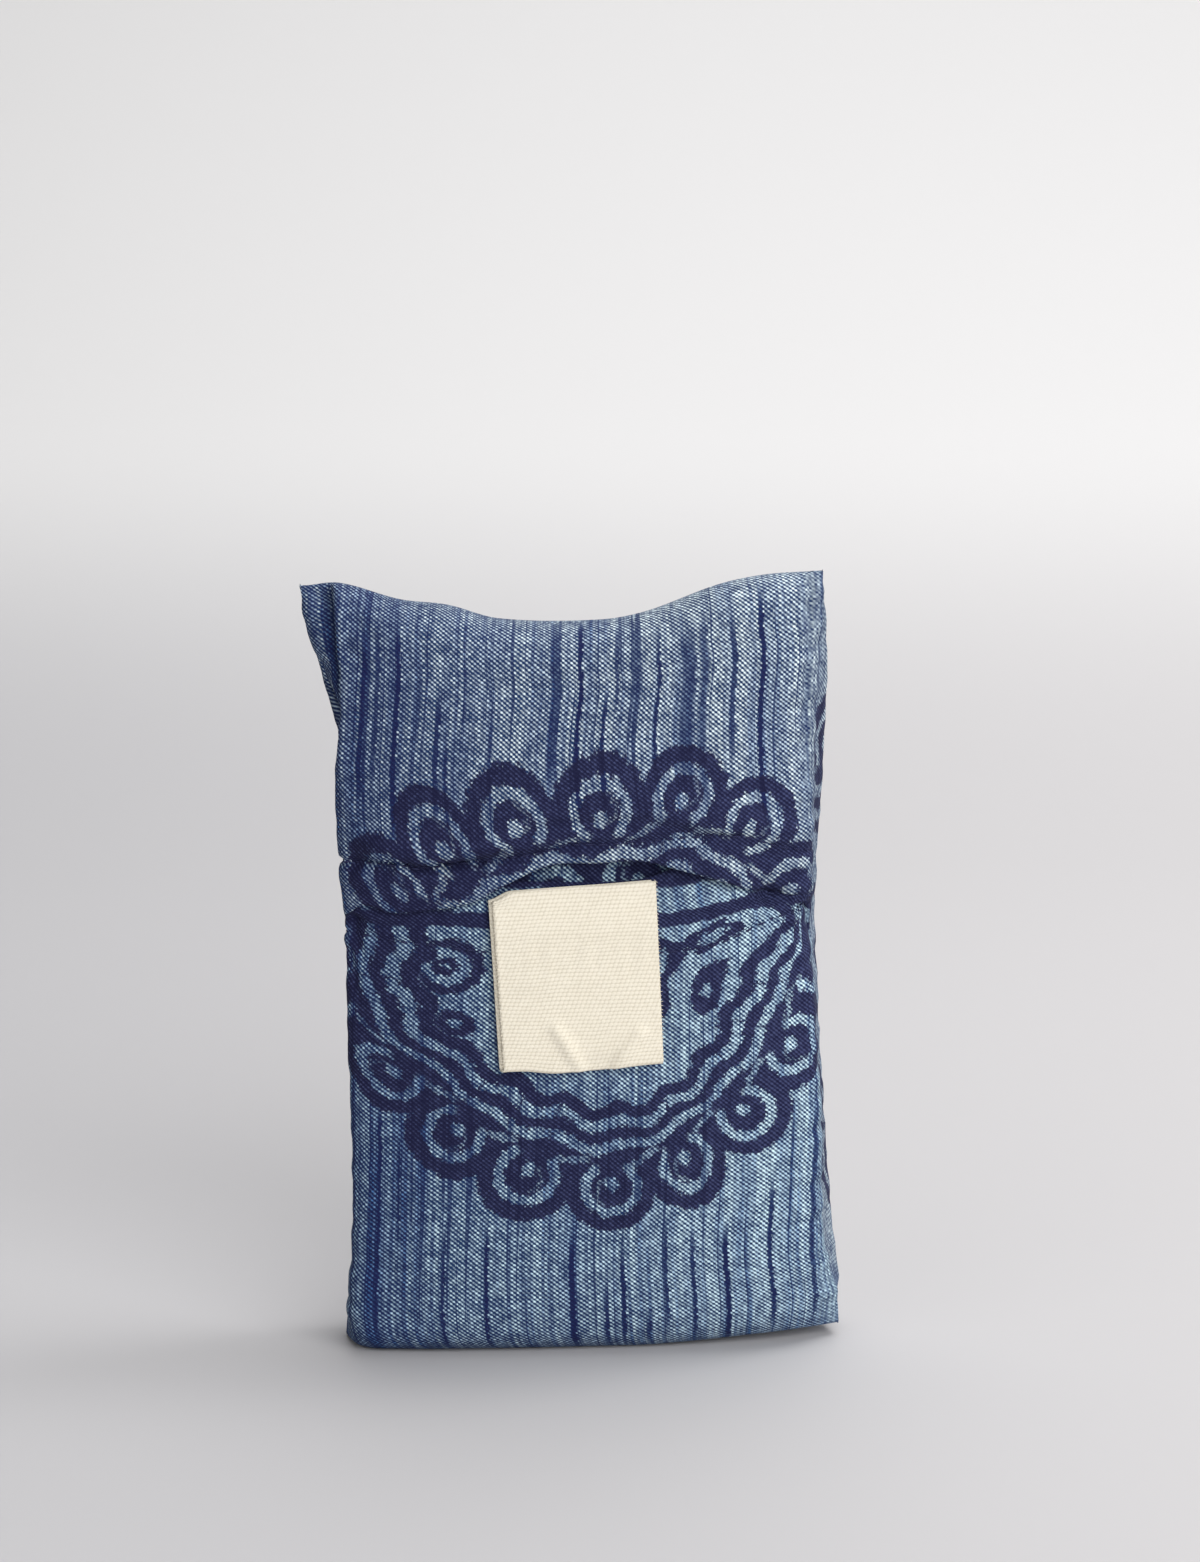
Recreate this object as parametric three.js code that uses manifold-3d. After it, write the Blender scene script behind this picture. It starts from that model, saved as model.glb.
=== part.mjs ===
// A reusable shopping bag of printed cotton, folded into its own sewn pouch, which stands on its base.
// The pouch is one strip of cloth. Its two hemmed ends overlap at the middle of the front as the mouth,
// and its two sides are sewn up. The bag lies inside it, folded back and forth, and a folded tape label
// hangs from the lower hem. Millimetres, +Z up, front towards -Y, origin under the middle of the base.
import * as THREE from "three";
import { mergeVertices } from "three/addons/utils/BufferGeometryUtils.js";
import Module from "manifold-3d";

// Driving sizes
const HEIGHT = 189; // from the base to the top fold at its middle, between the two ears
const CLOTH = 1.4; // wall of the pouch
const SEAM_HALF = 1.5; // half the thickness of the sewn side seams
const SEAM_DEPTH = 5; // how far the two layers are sewn together from the edge
const EAR_REACH = 62; // how far down from the top fold the ears still draw the cloth up
const LIFT_REACH = 26; // how far up the walls the lifted corners are still felt
const TOP_FOLD = 8; // height over which the cloth turns at the top
const BASE_FOLD = 7; // height over which the cloth turns under at the base
const FLAP_LENGTH = 36; // length of the upper end over which it stands off the form of the pouch
const HALF_WIDTH = 60; // of the pouch at its mouth
const HALF_DEPTH = 16; // of the filled pouch just above its base
const BELLY_FADE = 12; // over which the bulge above the mouth dies away at each side
const COLUMNS = 26; // steps of the cloth from one sewn side to the other

const BAG_CLOTH = 1.7; // one layer of the folded bag
const BAG_PITCH = 3.2; // from one layer to the next at the middle
const BAG_SQUEEZE = 0.28; // how much closer the layers lie at their side edges
const BAG_FLOOR = 1.8; // underside of the bag's folds, just above the pouch's base
const BAG_SWAY = 0.3; // how unevenly its layers lie
const BAG_COLUMNS = 10;

const LABEL_CLOTH = 1.0;
const LABEL_GAP = 0.4;
const LABEL_STANDOFF = 1;
const LABEL_LIFT = 0.8; // how much further its foot hangs off the cloth
const LABEL_ROWS = 8;
const LABEL_COLUMNS = 8;

// From the middle between the seams to the middle of the whole thing's box, which is the origin
const CENTRE_X = 1.7;
const CENTRE_Y = 2.3;

// Horizontal sections of the pouch from the base up. left and right are the sewn sides. face columns give the
// front: where it turns back at each side, its depth there and at the middle. back columns do so behind.
const SECTIONS = [
  {
    z: 0, twist: 0.1, leftX: -61.5, leftY: 0, rightX: 66.5, rightY: 2,
    faceL: -57, faceR: 60, faceEdge: -9.5, faceMid: -14.5,
    backL: -58, backR: 62, backEdge: 10, backMid: 14.5,
  },
  {
    z: 12, twist: 0.06, leftX: -61, leftY: 0, rightX: 65.5, rightY: -1,
    faceL: -60, faceR: 61.5, faceEdge: -11, faceMid: -17.3,
    backL: -60, backR: 65.5, backEdge: 10.5, backMid: 16.5,
  },
  {
    z: 30, twist: 0.03, leftX: -58.5, leftY: 1, rightX: 62, rightY: -3.5,
    faceL: -59.4, faceR: 60.5, faceEdge: -11.5, faceMid: -18.2,
    backL: -59, backR: 64, backEdge: 10.5, backMid: 17,
  },
  {
    z: 60, twist: 0, leftX: -57.5, leftY: 1, rightX: 61.3, rightY: -2.5,
    faceL: -59.8, faceR: 59.6, faceEdge: -11.5, faceMid: -18.6,
    backL: -59, backR: 61.6, backEdge: 11, backMid: 17.4,
  },
  {
    z: 90, twist: 0, leftX: -57.5, leftY: 0, rightX: 59.6, rightY: -1,
    faceL: -60.2, faceR: 58.6, faceEdge: -11, faceMid: -18.4,
    backL: -59, backR: 60.3, backEdge: 11, backMid: 17.6,
  },
  {
    z: 110, twist: 0, leftX: -58, leftY: -1, rightX: 58.2, rightY: 0,
    faceL: -59.8, faceR: 56.4, faceEdge: -10, faceMid: -18,
    backL: -59, backR: 59, backEdge: 11, backMid: 17.4,
  },
  {
    z: 128, twist: 0, leftX: -58.5, leftY: 0, rightX: 58.6, rightY: -1,
    faceL: -60.8, faceR: 57.6, faceEdge: -10.5, faceMid: -18,
    backL: -59.5, backR: 59.4, backEdge: 11, backMid: 17,
  },
  {
    z: 150, twist: 0, leftX: -60, leftY: 1, rightX: 58.5, rightY: -3,
    faceL: -61, faceR: 57.2, faceEdge: -10, faceMid: -17.2,
    backL: -60, backR: 60.6, backEdge: 10, backMid: 16,
  },
  {
    z: 168, twist: 0, leftX: -64.8, leftY: 1, rightX: 60, rightY: -2,
    faceL: -61.4, faceR: 57.6, faceEdge: -8, faceMid: -14.8,
    backL: -62, backR: 60.8, backEdge: 8, backMid: 13.6,
  },
  {
    z: 180, twist: 0, leftX: -68, leftY: 1, rightX: 60.6, rightY: -1,
    faceL: -61.8, faceR: 57, faceEdge: -5.5, faceMid: -11.6,
    backL: -63, backR: 59.8, backEdge: 5.5, backMid: 10.4,
  },
  {
    z: 189, twist: 0, leftX: -70, leftY: 1, rightX: 59.6, rightY: 0,
    faceL: -62.4, faceR: 55, faceEdge: -3.6, faceMid: -9.4,
    backL: -64, backR: 57, backEdge: 4, backMid: 8.6,
  },
];

// The top fold from the left ear to the right one.
const CREST = [
  { x: -70, z: 197.3 },
  { x: -61, z: 198 },
  { x: -46, z: 193.8 },
  { x: -34, z: 192.4 },
  { x: -21, z: 188.9 },
  { x: 4, z: 188.6 },
  { x: 16, z: 190.8 },
  { x: 34, z: 197.6 },
  { x: 46, z: 200.2 },
  { x: 60, z: 201.2 },
];
// How far the base lifts off the surface towards its corners.
const CORNER_LIFT = [
  { x: -70, z: 2.4 },
  { x: -60, z: 0.8 },
  { x: -52, z: 0 },
  { x: 14, z: 0 },
  { x: 30, z: 0.8 },
  { x: 44, z: 1.9 },
  { x: 68, z: 3.4 },
];

// The mouth from left to right. hem is the height of the upper end's edge and off how far it stands off
// the face. lip is the height of the lower end's edge and tuck is how far that edge leans into the pouch.
const MOUTH = [
  { x: -61, hem: 117.4, off: 0.5, lip: 125, tuck: 0 },
  { x: -54, hem: 119.2, off: 1.6, lip: 125, tuck: 0.3 },
  { x: -42, hem: 118, off: 2, lip: 125, tuck: 1.2 },
  { x: -28, hem: 120.6, off: 2.2, lip: 125, tuck: 2.2 },
  { x: -18, hem: 125.6, off: 1.6, lip: 124.8, tuck: 2.6 },
  { x: -8, hem: 129.6, off: 0.4, lip: 124.6, tuck: 2.6 },
  { x: 4, hem: 130, off: 0, lip: 124.6, tuck: 2.6 },
  { x: 15, hem: 130.6, off: 0.4, lip: 125.2, tuck: 3 },
  { x: 24, hem: 128.6, off: 1.4, lip: 128.4, tuck: 3.8 },
  { x: 36, hem: 125.2, off: 2.4, lip: 129.6, tuck: 3.8 },
  { x: 47, hem: 121.8, off: 2.2, lip: 129, tuck: 2.4 },
  { x: 59, hem: 119.4, off: 0.5, lip: 127, tuck: 0 },
];
const MOUTH_HEIGHT = 124;
const TUCK_START = 10; // how far below the lip the lower end begins to lean in
// How far the upper end stands off along its length, from its hem to where it has joined the wall.
const FLAP_PROFILE = [
  { at: 0, off: 1, belly: 0 },
  { at: 0.22, off: 0.85, belly: 0.2 },
  { at: 0.36, off: 0.6, belly: 2.3 },
  { at: 0.55, off: 0.15, belly: 1.5 },
  { at: 0.8, off: 0, belly: 0.4 },
  { at: 1, off: 0, belly: 0 },
];

// Main creases of the front, each a soft trough from one point to another, with its depth into the cloth.
const CREASES = [
  { x0: 58, z0: 114, x1: 50, z1: 97, wide: 2.6, deep: 1.7 },
  { x0: 57, z0: 113, x1: 42, z1: 105, wide: 2.2, deep: 1 },
  { x0: 58, z0: 109, x1: 56, z1: 85, wide: 2.4, deep: 1 },
  { x0: -60, z0: 113, x1: -50, z1: 101, wide: 2.4, deep: 0.9 },
  { x0: 60, z0: 185, x1: 55, z1: 153, wide: 2.2, deep: 0.9 },
  { x0: -59, z0: 182, x1: -52, z1: 177, wide: 2.2, deep: 1 },
  { x0: -22, z0: 173, x1: 12, z1: 174, wide: 3.4, deep: 0.6 },
  { x0: 60, z0: 45, x1: 63, z1: 15, wide: 2.4, deep: 1 },
  { x0: -50, z0: 21, x1: -16, z1: 16, wide: 3, deep: 0.5 },
];

// The folded bag's pairs of layers from the front: where each turns over at the top, how far its foot stays
// off the floor of the pouch, and how far it reaches to each side.
const BAG_FOLDS = [
  { top: 151, foot: 6, halfWidth: 47 },
  { top: 165, foot: 0, halfWidth: 50 },
  { top: 166, foot: 0, halfWidth: 49 },
  { top: 153, foot: 6, halfWidth: 47 },
];

// The label's front, from its sewn top to its foot, hanging a little skew.
const LABEL = {
  topLeft: [-22.6, 122.4],
  topRight: [18.4, 125.6],
  footRight: [20.4, 79.4],
  footLeft: [-19.8, 77.2],
};
const LABEL_BACK_SHIFT = -1.1; // the rear layer peeps out at the left

const { lerp, smoothstep } = THREE.MathUtils;

// The value of one column between the rows of a table, on a smooth curve through them.
function read(rows, key, column, where) {
  const last = rows.length - 1;
  if (where <= rows[0][key]) return rows[0][column];
  if (where >= rows[last][key]) return rows[last][column];
  const i = rows.findIndex((row) => row[key] > where) - 1;
  const slope = (k) => {
    const a = Math.max(k - 1, 0);
    const b = Math.min(k + 1, last);
    return (rows[b][column] - rows[a][column]) / (rows[b][key] - rows[a][key]);
  };
  const step = rows[i + 1][key] - rows[i][key];
  const u = (where - rows[i][key]) / step;
  const from = rows[i][column];
  const to = rows[i + 1][column];
  return (
    from * (1 + 2 * u) * (1 - u) ** 2 +
    to * u * u * (3 - 2 * u) +
    step * (slope(i) * u * (1 - u) ** 2 - slope(i + 1) * u * u * (1 - u))
  );
}

// How deep the creases press into the front at a place on it.
function creaseDepth(x, z) {
  let deep = 0;
  for (const c of CREASES) {
    const along = [c.x1 - c.x0, c.z1 - c.z0];
    const length2 = along[0] ** 2 + along[1] ** 2;
    const s = THREE.MathUtils.clamp(((x - c.x0) * along[0] + (z - c.z0) * along[1]) / length2, 0, 1);
    const away = Math.hypot(x - c.x0 - s * along[0], z - c.z0 - s * along[1]);
    deep += c.deep * Math.exp(-((away / c.wide) ** 2)) * (1 - 0.8 * s);
  }
  return deep;
}

// One horizontal section as a closed curve from the left seam along the front and back along the rear.
// Each side has two seam points, where the face turns back at its left and right, and five on its crown.
// inset shrinks it by the cloth, to the inside of the pouch, where the sewn edges take up some depth.
const SIDE_POINTS = 9;
const SECTION_POINTS = 2 * SIDE_POINTS;
const CROWN = [
  { share: 0.1, rise: 0.62 },
  { share: 0.3, rise: 0.95 },
  { share: 0.5, rise: 1 },
  { share: 0.7, rise: 0.95 },
  { share: 0.9, rise: 0.62 },
];
function sectionAt(height, inset) {
  const s = Object.fromEntries(
    Object.keys(SECTIONS[0]).map((column) => [column, read(SECTIONS, "z", column, height)]),
  );
  const seamIn = inset > 0 ? SEAM_DEPTH : 0;
  const seamHalf = inset > 0 ? SEAM_HALF / 4 : SEAM_HALF;
  const side = (left, right, edge, mid, out) => {
    const [from, to] = [left + inset, right - inset];
    const at = (x, y) => new THREE.Vector3(x, y - out * inset + s.twist * x, 0);
    return [
      new THREE.Vector3(s.leftX + seamIn, s.leftY + out * seamHalf, 0),
      at(from, edge),
      ...CROWN.map(({ share, rise }) => at(lerp(from, to, share), lerp(edge, mid, rise))),
      at(to, edge),
      new THREE.Vector3(s.rightX - seamIn, s.rightY + out * seamHalf, 0),
    ];
  };
  const front = side(s.faceL, s.faceR, s.faceEdge, s.faceMid, -1);
  const back = side(s.backL, s.backR, s.backEdge, s.backMid, 1);
  return { ...s, curve: new THREE.CatmullRomCurve3([...front, ...back.reverse()], true) };
}

// How far the base's corners rise off the surface, fading out up the walls.
function cornerLift(x, height) {
  return Math.max(read(CORNER_LIFT, "x", "z", x), 0) * (1 - smoothstep(height, 0, LIFT_REACH));
}

// The true height of a place whose section is drawn at a nominal one, with the ears and the base's corners.
function trueHeight(x, height) {
  const ear = (read(CREST, "x", "z", x) - HEIGHT) * smoothstep(height, HEIGHT - EAR_REACH, HEIGHT);
  return height + ear + cornerLift(x, height);
}

// How far the lower end leans into the pouch near its lip.
function lipLean(x, z) {
  const lip = read(MOUTH, "x", "lip", x);
  return read(MOUTH, "x", "tuck", x) * smoothstep(z, lip - TUCK_START, lip);
}

// A point of the cloth. across runs from the left seam, 0, to the right one, 1. closing draws the front and
// the rear together, from 1 on the walls to 0 where they would meet in a fold.
function clothPoint(side, across, height, closing, inset) {
  const section = sectionAt(height, inset);
  const run = (across * (SIDE_POINTS - 1)) / SECTION_POINTS;
  const p = section.curve.getPoint(side === "front" ? run : 1 - 1 / SECTION_POINTS - run);
  const middle = lerp(section.leftY, section.rightY, across);
  const z = trueHeight(p.x, height);
  const crease = side === "front" ? creaseDepth(p.x, z) * closing : 0;
  return new THREE.Vector3(p.x, lerp(middle, p.y, closing) + crease, z);
}

// A sheet given as rows of outer and inner points, closed round its four edges.
function sheetSurface(outer, inner) {
  const position = [];
  const quad = (a, b, c, d) => [a, b, c, a, c, d].forEach((p) => position.push(p.x, p.y, p.z));
  const rows = outer.length;
  const columns = outer[0].length;
  for (let i = 0; i + 1 < rows; i++) {
    for (let j = 0; j + 1 < columns; j++) {
      quad(outer[i][j], outer[i][j + 1], outer[i + 1][j + 1], outer[i + 1][j]);
      quad(inner[i][j], inner[i + 1][j], inner[i + 1][j + 1], inner[i][j + 1]);
    }
    quad(outer[i][0], outer[i + 1][0], inner[i + 1][0], inner[i][0]);
    quad(outer[i][columns - 1], inner[i][columns - 1], inner[i + 1][columns - 1], outer[i + 1][columns - 1]);
  }
  for (let j = 0; j + 1 < columns; j++) {
    quad(outer[0][j], inner[0][j], inner[0][j + 1], outer[0][j + 1]);
    quad(outer[rows - 1][j], outer[rows - 1][j + 1], inner[rows - 1][j + 1], inner[rows - 1][j]);
  }
  return position;
}

const wasm = await Module();
wasm.setup();

// A solid from a list of corner coordinates, three corners to a face.
function solidOf(position) {
  const loose = new THREE.BufferGeometry();
  loose.setAttribute("position", new THREE.Float32BufferAttribute(position, 3));
  const merged = mergeVertices(loose, 1e-3);
  const index = merged.index.array;
  const kept = [];
  for (let i = 0; i < index.length; i += 3) {
    const [a, b, c] = [index[i], index[i + 1], index[i + 2]];
    if (a !== b && b !== c && c !== a) kept.push(a, b, c);
  }
  return new wasm.Manifold(
    new wasm.Mesh({
      numProp: 3,
      vertProperties: merged.attributes.position.array,
      triVerts: new Uint32Array(kept),
    }),
  );
}

function geometryOf(solid) {
  const mesh = solid.getMesh();
  const geometry = new THREE.BufferGeometry();
  geometry.setAttribute("position", new THREE.BufferAttribute(mesh.vertProperties, 3));
  geometry.setIndex(new THREE.BufferAttribute(mesh.triVerts, 1));
  geometry.computeVertexNormals();
  return geometry;
}

// Rows across the cloth where it turns, from the side it comes from to the flat or the fold itself.
const BENDS = [1, 0.75, 0.5, 0.25, 0];
const TOP_TURN = 0.92; // share of a quarter turn over which the cloth leaves the wall for the top fold
function baseRow(side, bend, inset) {
  const angle = (1 - bend) * (Math.PI / 2);
  const flat = 1 - BASE_FOLD / HALF_DEPTH;
  return {
    side,
    height: inset + BASE_FOLD * (1 - Math.sin(angle)),
    closing: flat + (1 - flat) * Math.cos(angle),
  };
}
function topRow(side, bend, inset) {
  const angle = (1 - TOP_TURN * bend) * (Math.PI / 2);
  return { side, height: HEIGHT - inset - TOP_FOLD * (1 - Math.cos(angle)), closing: Math.sin(angle) };
}

// Heights of a wall's rows as shares of the way from where it starts to where it ends.
const shares = (count, power = 1) =>
  Array.from({ length: count }, (_, i) => ((i + 1) / (count + 1)) ** power);

// Both faces of a stretch of the strip. Each row gives, for a wall inset, its side, height and closing, and
// the height may depend on the place across. shift moves a point by what only this stretch does.
function stretch(rows, shift = () => 0) {
  const face = (inset) =>
    rows.map((row) =>
      Array.from({ length: COLUMNS + 1 }, (_, j) => {
        const across = j / COLUMNS;
        const { side, height, closing } = row(inset, across);
        const p = clothPoint(side, across, height, closing, inset);
        p.y += side === "front" ? shift(p.x, p.z, height, across) : 0;
        return p;
      }),
    );
  return [face(CLOTH), face(0)];
}

// Where a place across the cloth lies at the height of the mouth.
const mouthX = (across) => clothPoint("front", across, MOUTH_HEIGHT, 1, 0).x;

// The strip from the lip of its lower end down the front, under the base, up the rear and into the top fold.
function lowerEnd() {
  const wall = (from, to, side, share) => (inset, across) => ({
    side,
    height: lerp(from(across, inset), to(inset), share),
    closing: 1,
  });
  const lip = (across) => read(MOUTH, "x", "lip", mouthX(across));
  const foot = (inset) => inset + BASE_FOLD;
  const top = (inset) => HEIGHT - inset - TOP_FOLD;
  const rows = [
    ...[0, ...shares(15, 1.5)].map((share) => wall(lip, foot, "front", share)),
    ...[0, 0.3, 0.6, 1].map((turned) => (inset) => baseRow("front", 1 - turned, inset)),
    ...[1, 0.6, 0.3, 0].map((turned) => (inset) => baseRow("back", 1 - turned, inset)),
    ...shares(13).map((share) => wall((_, inset) => foot(inset), top, "back", share)),
    ...BENDS.slice().reverse().map((bend) => (inset) => topRow("back", bend, inset)),
  ];
  return stretch(rows, lipLean);
}

// The strip from the top fold down to the hem of its upper end, which hangs outside the lower one.
function upperEnd() {
  const hem = (across) => read(MOUTH, "x", "hem", mouthX(across));
  const top = (inset) => HEIGHT - inset - TOP_FOLD;
  const rows = [
    (inset) => topRow("back", 1, inset),
    ...BENDS.map((bend) => (inset) => topRow("front", bend, inset)),
    ...[...shares(12), 1].map((share) => (inset, across) => ({
      side: "front",
      height: lerp(top(inset), hem(across), share),
      closing: 1,
    })),
  ];
  return stretch(rows, (x, z, height, across) => {
    const share = (height - hem(across)) / FLAP_LENGTH;
    const inFromSide = smoothstep(HALF_WIDTH - Math.abs(x), 0, BELLY_FADE);
    const belly = read(FLAP_PROFILE, "at", "belly", share) * inFromSide;
    return -read(MOUTH, "x", "off", x) * read(FLAP_PROFILE, "at", "off", share) - belly;
  });
}

const CORE_INSET = 0.25; // how far inside the faces of the cloth the core lies
const CORE_PROUD = 0.4; // how far its edge stands past the sewn layers
const CORE_FROM = 0.004; // share of the height at which it starts, just inside the base fold
const CORE_TO = 0.9955; // and ends, just inside the top fold
// A sewn side: the core that joins the front to the rear, just inside their faces.
function seamCore(side) {
  const isLeft = side === "left";
  const outward = isLeft ? -1 : 1;
  const half = SEAM_HALF - CORE_INSET;
  const faces = [-1, 1].map((out) =>
    [CORE_FROM, ...shares(22), CORE_TO].map((share) => {
      const height = share * HEIGHT;
      const s = sectionAt(height, 0);
      const x = isLeft ? s.leftX : s.rightX;
      const y = isLeft ? s.leftY : s.rightY;
      const z = trueHeight(x, height);
      return [CORE_PROUD, -SEAM_DEPTH - 1].map(
        (reach) => new THREE.Vector3(x + outward * reach, y + out * half, z),
      );
    }),
  );
  return isLeft ? sheetSurface(faces[0], faces[1]) : sheetSurface(faces[1], faces[0]);
}

function pouch() {
  const sheets = [sheetSurface(...lowerEnd()), sheetSurface(...upperEnd())];
  const solids = [...sheets, seamCore("left"), seamCore("right")].map(solidOf);
  return geometryOf(solids.reduce((whole, piece) => whole.add(piece)));
}

// The bag: one band of cloth folded up and down, layer behind layer.
function foldedBag() {
  const layers = BAG_FOLDS.length * 2;
  const footOf = (i) => {
    const next = Math.min(Math.floor((i + 1) / 2), BAG_FOLDS.length - 1);
    const pairs = [BAG_FOLDS[Math.floor(i / 2)], BAG_FOLDS[next]];
    const turn = i === 0 || i === layers - 1 ? 0 : BAG_PITCH / 2;
    return BAG_FLOOR + turn + BAG_CLOTH / 2 + Math.max(...pairs.map((fold) => fold.foot));
  };
  const path = [];
  for (let i = 0; i < layers; i++) {
    const fold = BAG_FOLDS[Math.floor(i / 2)];
    const y = (i - (layers - 1) / 2) * BAG_PITCH;
    const rises = i % 2 === 0;
    const foot = footOf(rises ? Math.max(i - 1, 0) : i);
    const heights = [0, 0.25, 0.5, 0.75, 1].map((share) => lerp(foot, fold.top, share));
    if (!rises) heights.reverse();
    heights.forEach((z) => path.push({ y, z, halfWidth: fold.halfWidth }));
    if (i + 1 < layers) {
      const z = rises ? fold.top : foot;
      for (const angle of [45, 90, 135]) {
        const a = THREE.MathUtils.degToRad(angle);
        path.push({
          y: y + (BAG_PITCH / 2) * (1 - Math.cos(a)),
          z: z + (rises ? 1 : -1) * (BAG_PITCH / 2) * Math.sin(a),
          halfWidth: fold.halfWidth,
        });
      }
    }
  }
  const outer = [];
  const inner = [];
  path.forEach((p, i) => {
    const before = path[Math.max(i - 1, 0)];
    const after = path[Math.min(i + 1, path.length - 1)];
    const run = new THREE.Vector2(after.y - before.y, after.z - before.z).normalize();
    const half = BAG_CLOTH / 2;
    const rowOut = [];
    const rowIn = [];
    for (let j = 0; j <= BAG_COLUMNS; j++) {
      const side = (2 * j) / BAG_COLUMNS - 1;
      const x = side * (p.halfWidth + BAG_SWAY * Math.sin(i));
      const sway = BAG_SWAY * Math.sin(side * 4) + read(SECTIONS, "z", "twist", p.z) * x;
      const y = p.y * (1 - BAG_SQUEEZE * side * side) + sway;
      const z = p.z + cornerLift(x, p.z);
      rowOut.push(new THREE.Vector3(x, y - run.y * half, z + run.x * half));
      rowIn.push(new THREE.Vector3(x, y + run.y * half, z - run.x * half));
    }
    outer.push(rowOut);
    inner.push(rowIn);
  });
  return geometryOf(solidOf(sheetSurface(outer, inner)));
}

// The depth of the front face at a place which the lower end of the strip covers.
function faceAt(x, z) {
  let [low, high] = [0, 1];
  for (let i = 0; i < 30; i++) {
    const middle = (low + high) / 2;
    if (clothPoint("front", middle, z, 1, 0).x < x) low = middle;
    else high = middle;
  }
  return clothPoint("front", low, z, 1, 0).y + lipLean(x, z);
}

// The label: a tape folded double at its foot, whose rear layer lies over the lower end of the strip.
function label() {
  const rearMiddle = LABEL_CLOTH / 2;
  const frontMiddle = rearMiddle + LABEL_CLOTH + LABEL_GAP;
  const foldRadius = (frontMiddle - rearMiddle) / 2;
  const down = Array.from({ length: LABEL_ROWS + 1 }, (_, i) => i / LABEL_ROWS);
  const path = [
    ...down.map((v) => ({ v, off: frontMiddle, drop: 0, facing: [-1, 0] })),
    { v: 1, off: (frontMiddle + rearMiddle) / 2, drop: foldRadius, facing: [0, -1] },
    ...down.slice().reverse().map((v) => ({ v, off: rearMiddle, drop: 0, facing: [1, 0] })),
  ];
  const face = (sign) =>
    path.map(({ v, off, drop, facing }) =>
      Array.from({ length: LABEL_COLUMNS + 1 }, (_, j) => {
        const u = j / LABEL_COLUMNS;
        const along = (from, to) => [lerp(from[0], to[0], u), lerp(from[1], to[1], u)];
        const top = along(LABEL.topLeft, LABEL.topRight);
        const foot = along(LABEL.footLeft, LABEL.footRight);
        const x = lerp(top[0], foot[0], v);
        const z = lerp(top[1], foot[1], v);
        const shift = LABEL_BACK_SHIFT * (frontMiddle - off) / (frontMiddle - rearMiddle);
        const half = (sign * LABEL_CLOTH) / 2;
        return new THREE.Vector3(
          x + shift,
          faceAt(x, z) - LABEL_STANDOFF - LABEL_LIFT * v * v - off + facing[0] * half,
          z - drop + facing[1] * half,
        );
      }),
    );
  return geometryOf(solidOf(sheetSurface(face(-1), face(1))));
}

const part = new THREE.Group();
function addPiece(name, geometry, colour) {
  const mesh = new THREE.Mesh(
    geometry,
    new THREE.MeshStandardMaterial({ color: colour, roughness: 0.9, metalness: 0 }),
  );
  mesh.name = name;
  part.add(mesh);
}

addPiece("pouch", pouch(), "#64768f");
addPiece("folded_bag", foldedBag(), "#4d5e7c");
addPiece("label", label(), "#eae0ce");

part.position.set(CENTRE_X, CENTRE_Y, 0);

export default part;
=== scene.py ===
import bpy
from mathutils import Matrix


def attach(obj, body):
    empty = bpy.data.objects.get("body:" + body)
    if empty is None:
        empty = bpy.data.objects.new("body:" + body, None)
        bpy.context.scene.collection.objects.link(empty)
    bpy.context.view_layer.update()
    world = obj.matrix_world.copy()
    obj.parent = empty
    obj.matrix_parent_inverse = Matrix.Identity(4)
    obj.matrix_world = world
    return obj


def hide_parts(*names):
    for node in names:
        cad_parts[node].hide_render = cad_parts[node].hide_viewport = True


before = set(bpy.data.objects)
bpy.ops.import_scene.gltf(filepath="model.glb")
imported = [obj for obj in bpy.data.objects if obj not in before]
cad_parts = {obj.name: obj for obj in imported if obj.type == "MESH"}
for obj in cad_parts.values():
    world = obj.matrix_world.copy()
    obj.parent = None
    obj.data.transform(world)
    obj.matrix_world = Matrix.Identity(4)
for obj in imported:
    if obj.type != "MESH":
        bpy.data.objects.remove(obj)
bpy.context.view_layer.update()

import math

import bpy
import numpy as np

# The camera
# It stands in front of the pouch and a little above it, with a long lens, as the photographer's did.
view_camera = bpy.data.objects.new("camera", bpy.data.cameras.new("camera"))
bpy.context.scene.collection.objects.link(view_camera)
bpy.context.scene.camera = view_camera
view_camera.location = (0.00612, -1.14153, 0.39039)
view_camera.rotation_euler = (math.radians(78), 0, 0)
view_camera.data.sensor_fit = "HORIZONTAL"
view_camera.data.sensor_width = 36
view_camera.data.lens = 138.45
view_camera.data.clip_start = 0.05

# The pouch's cloth
# One strip of printed cotton, hemmed at both short ends, which overlap at the middle of the front. It is
# folded over at the top and under at the base, and sewn up both sides inside out, so each side is a seam
# between two rounded edges. Sizes are in millimetres, from the middle between the two seams.
HEIGHT = 189  # from the base to the top fold at its middle, between the two ears
HALF_WIDTH = 60  # at the mouth
HALF_DEPTH = 16  # of the filled pouch just above its base
CLOTH = 0.5
HEM_EXTRA, LIP_EXTRA = 0.5, 0.3  # how much thicker the upper and the lower hem are
SEAM_HALF = 1.5  # half the thickness of the sewn side seams
TOP_FOLD = 8  # height over which the cloth turns at the top
BASE_FOLD = 7  # and over which it turns under at the base
EAR_REACH = 62  # how far down from the top fold the ears still draw the cloth up
LIFT_REACH = 26  # how far up the walls the lifted corners are still felt
MOUTH_HEIGHT = 124
FLAP_LENGTH = 36  # length of the upper end over which it stands off the form of the pouch
BELLY_FADE = 12  # over which its bulge above the mouth dies away at each side
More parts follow.
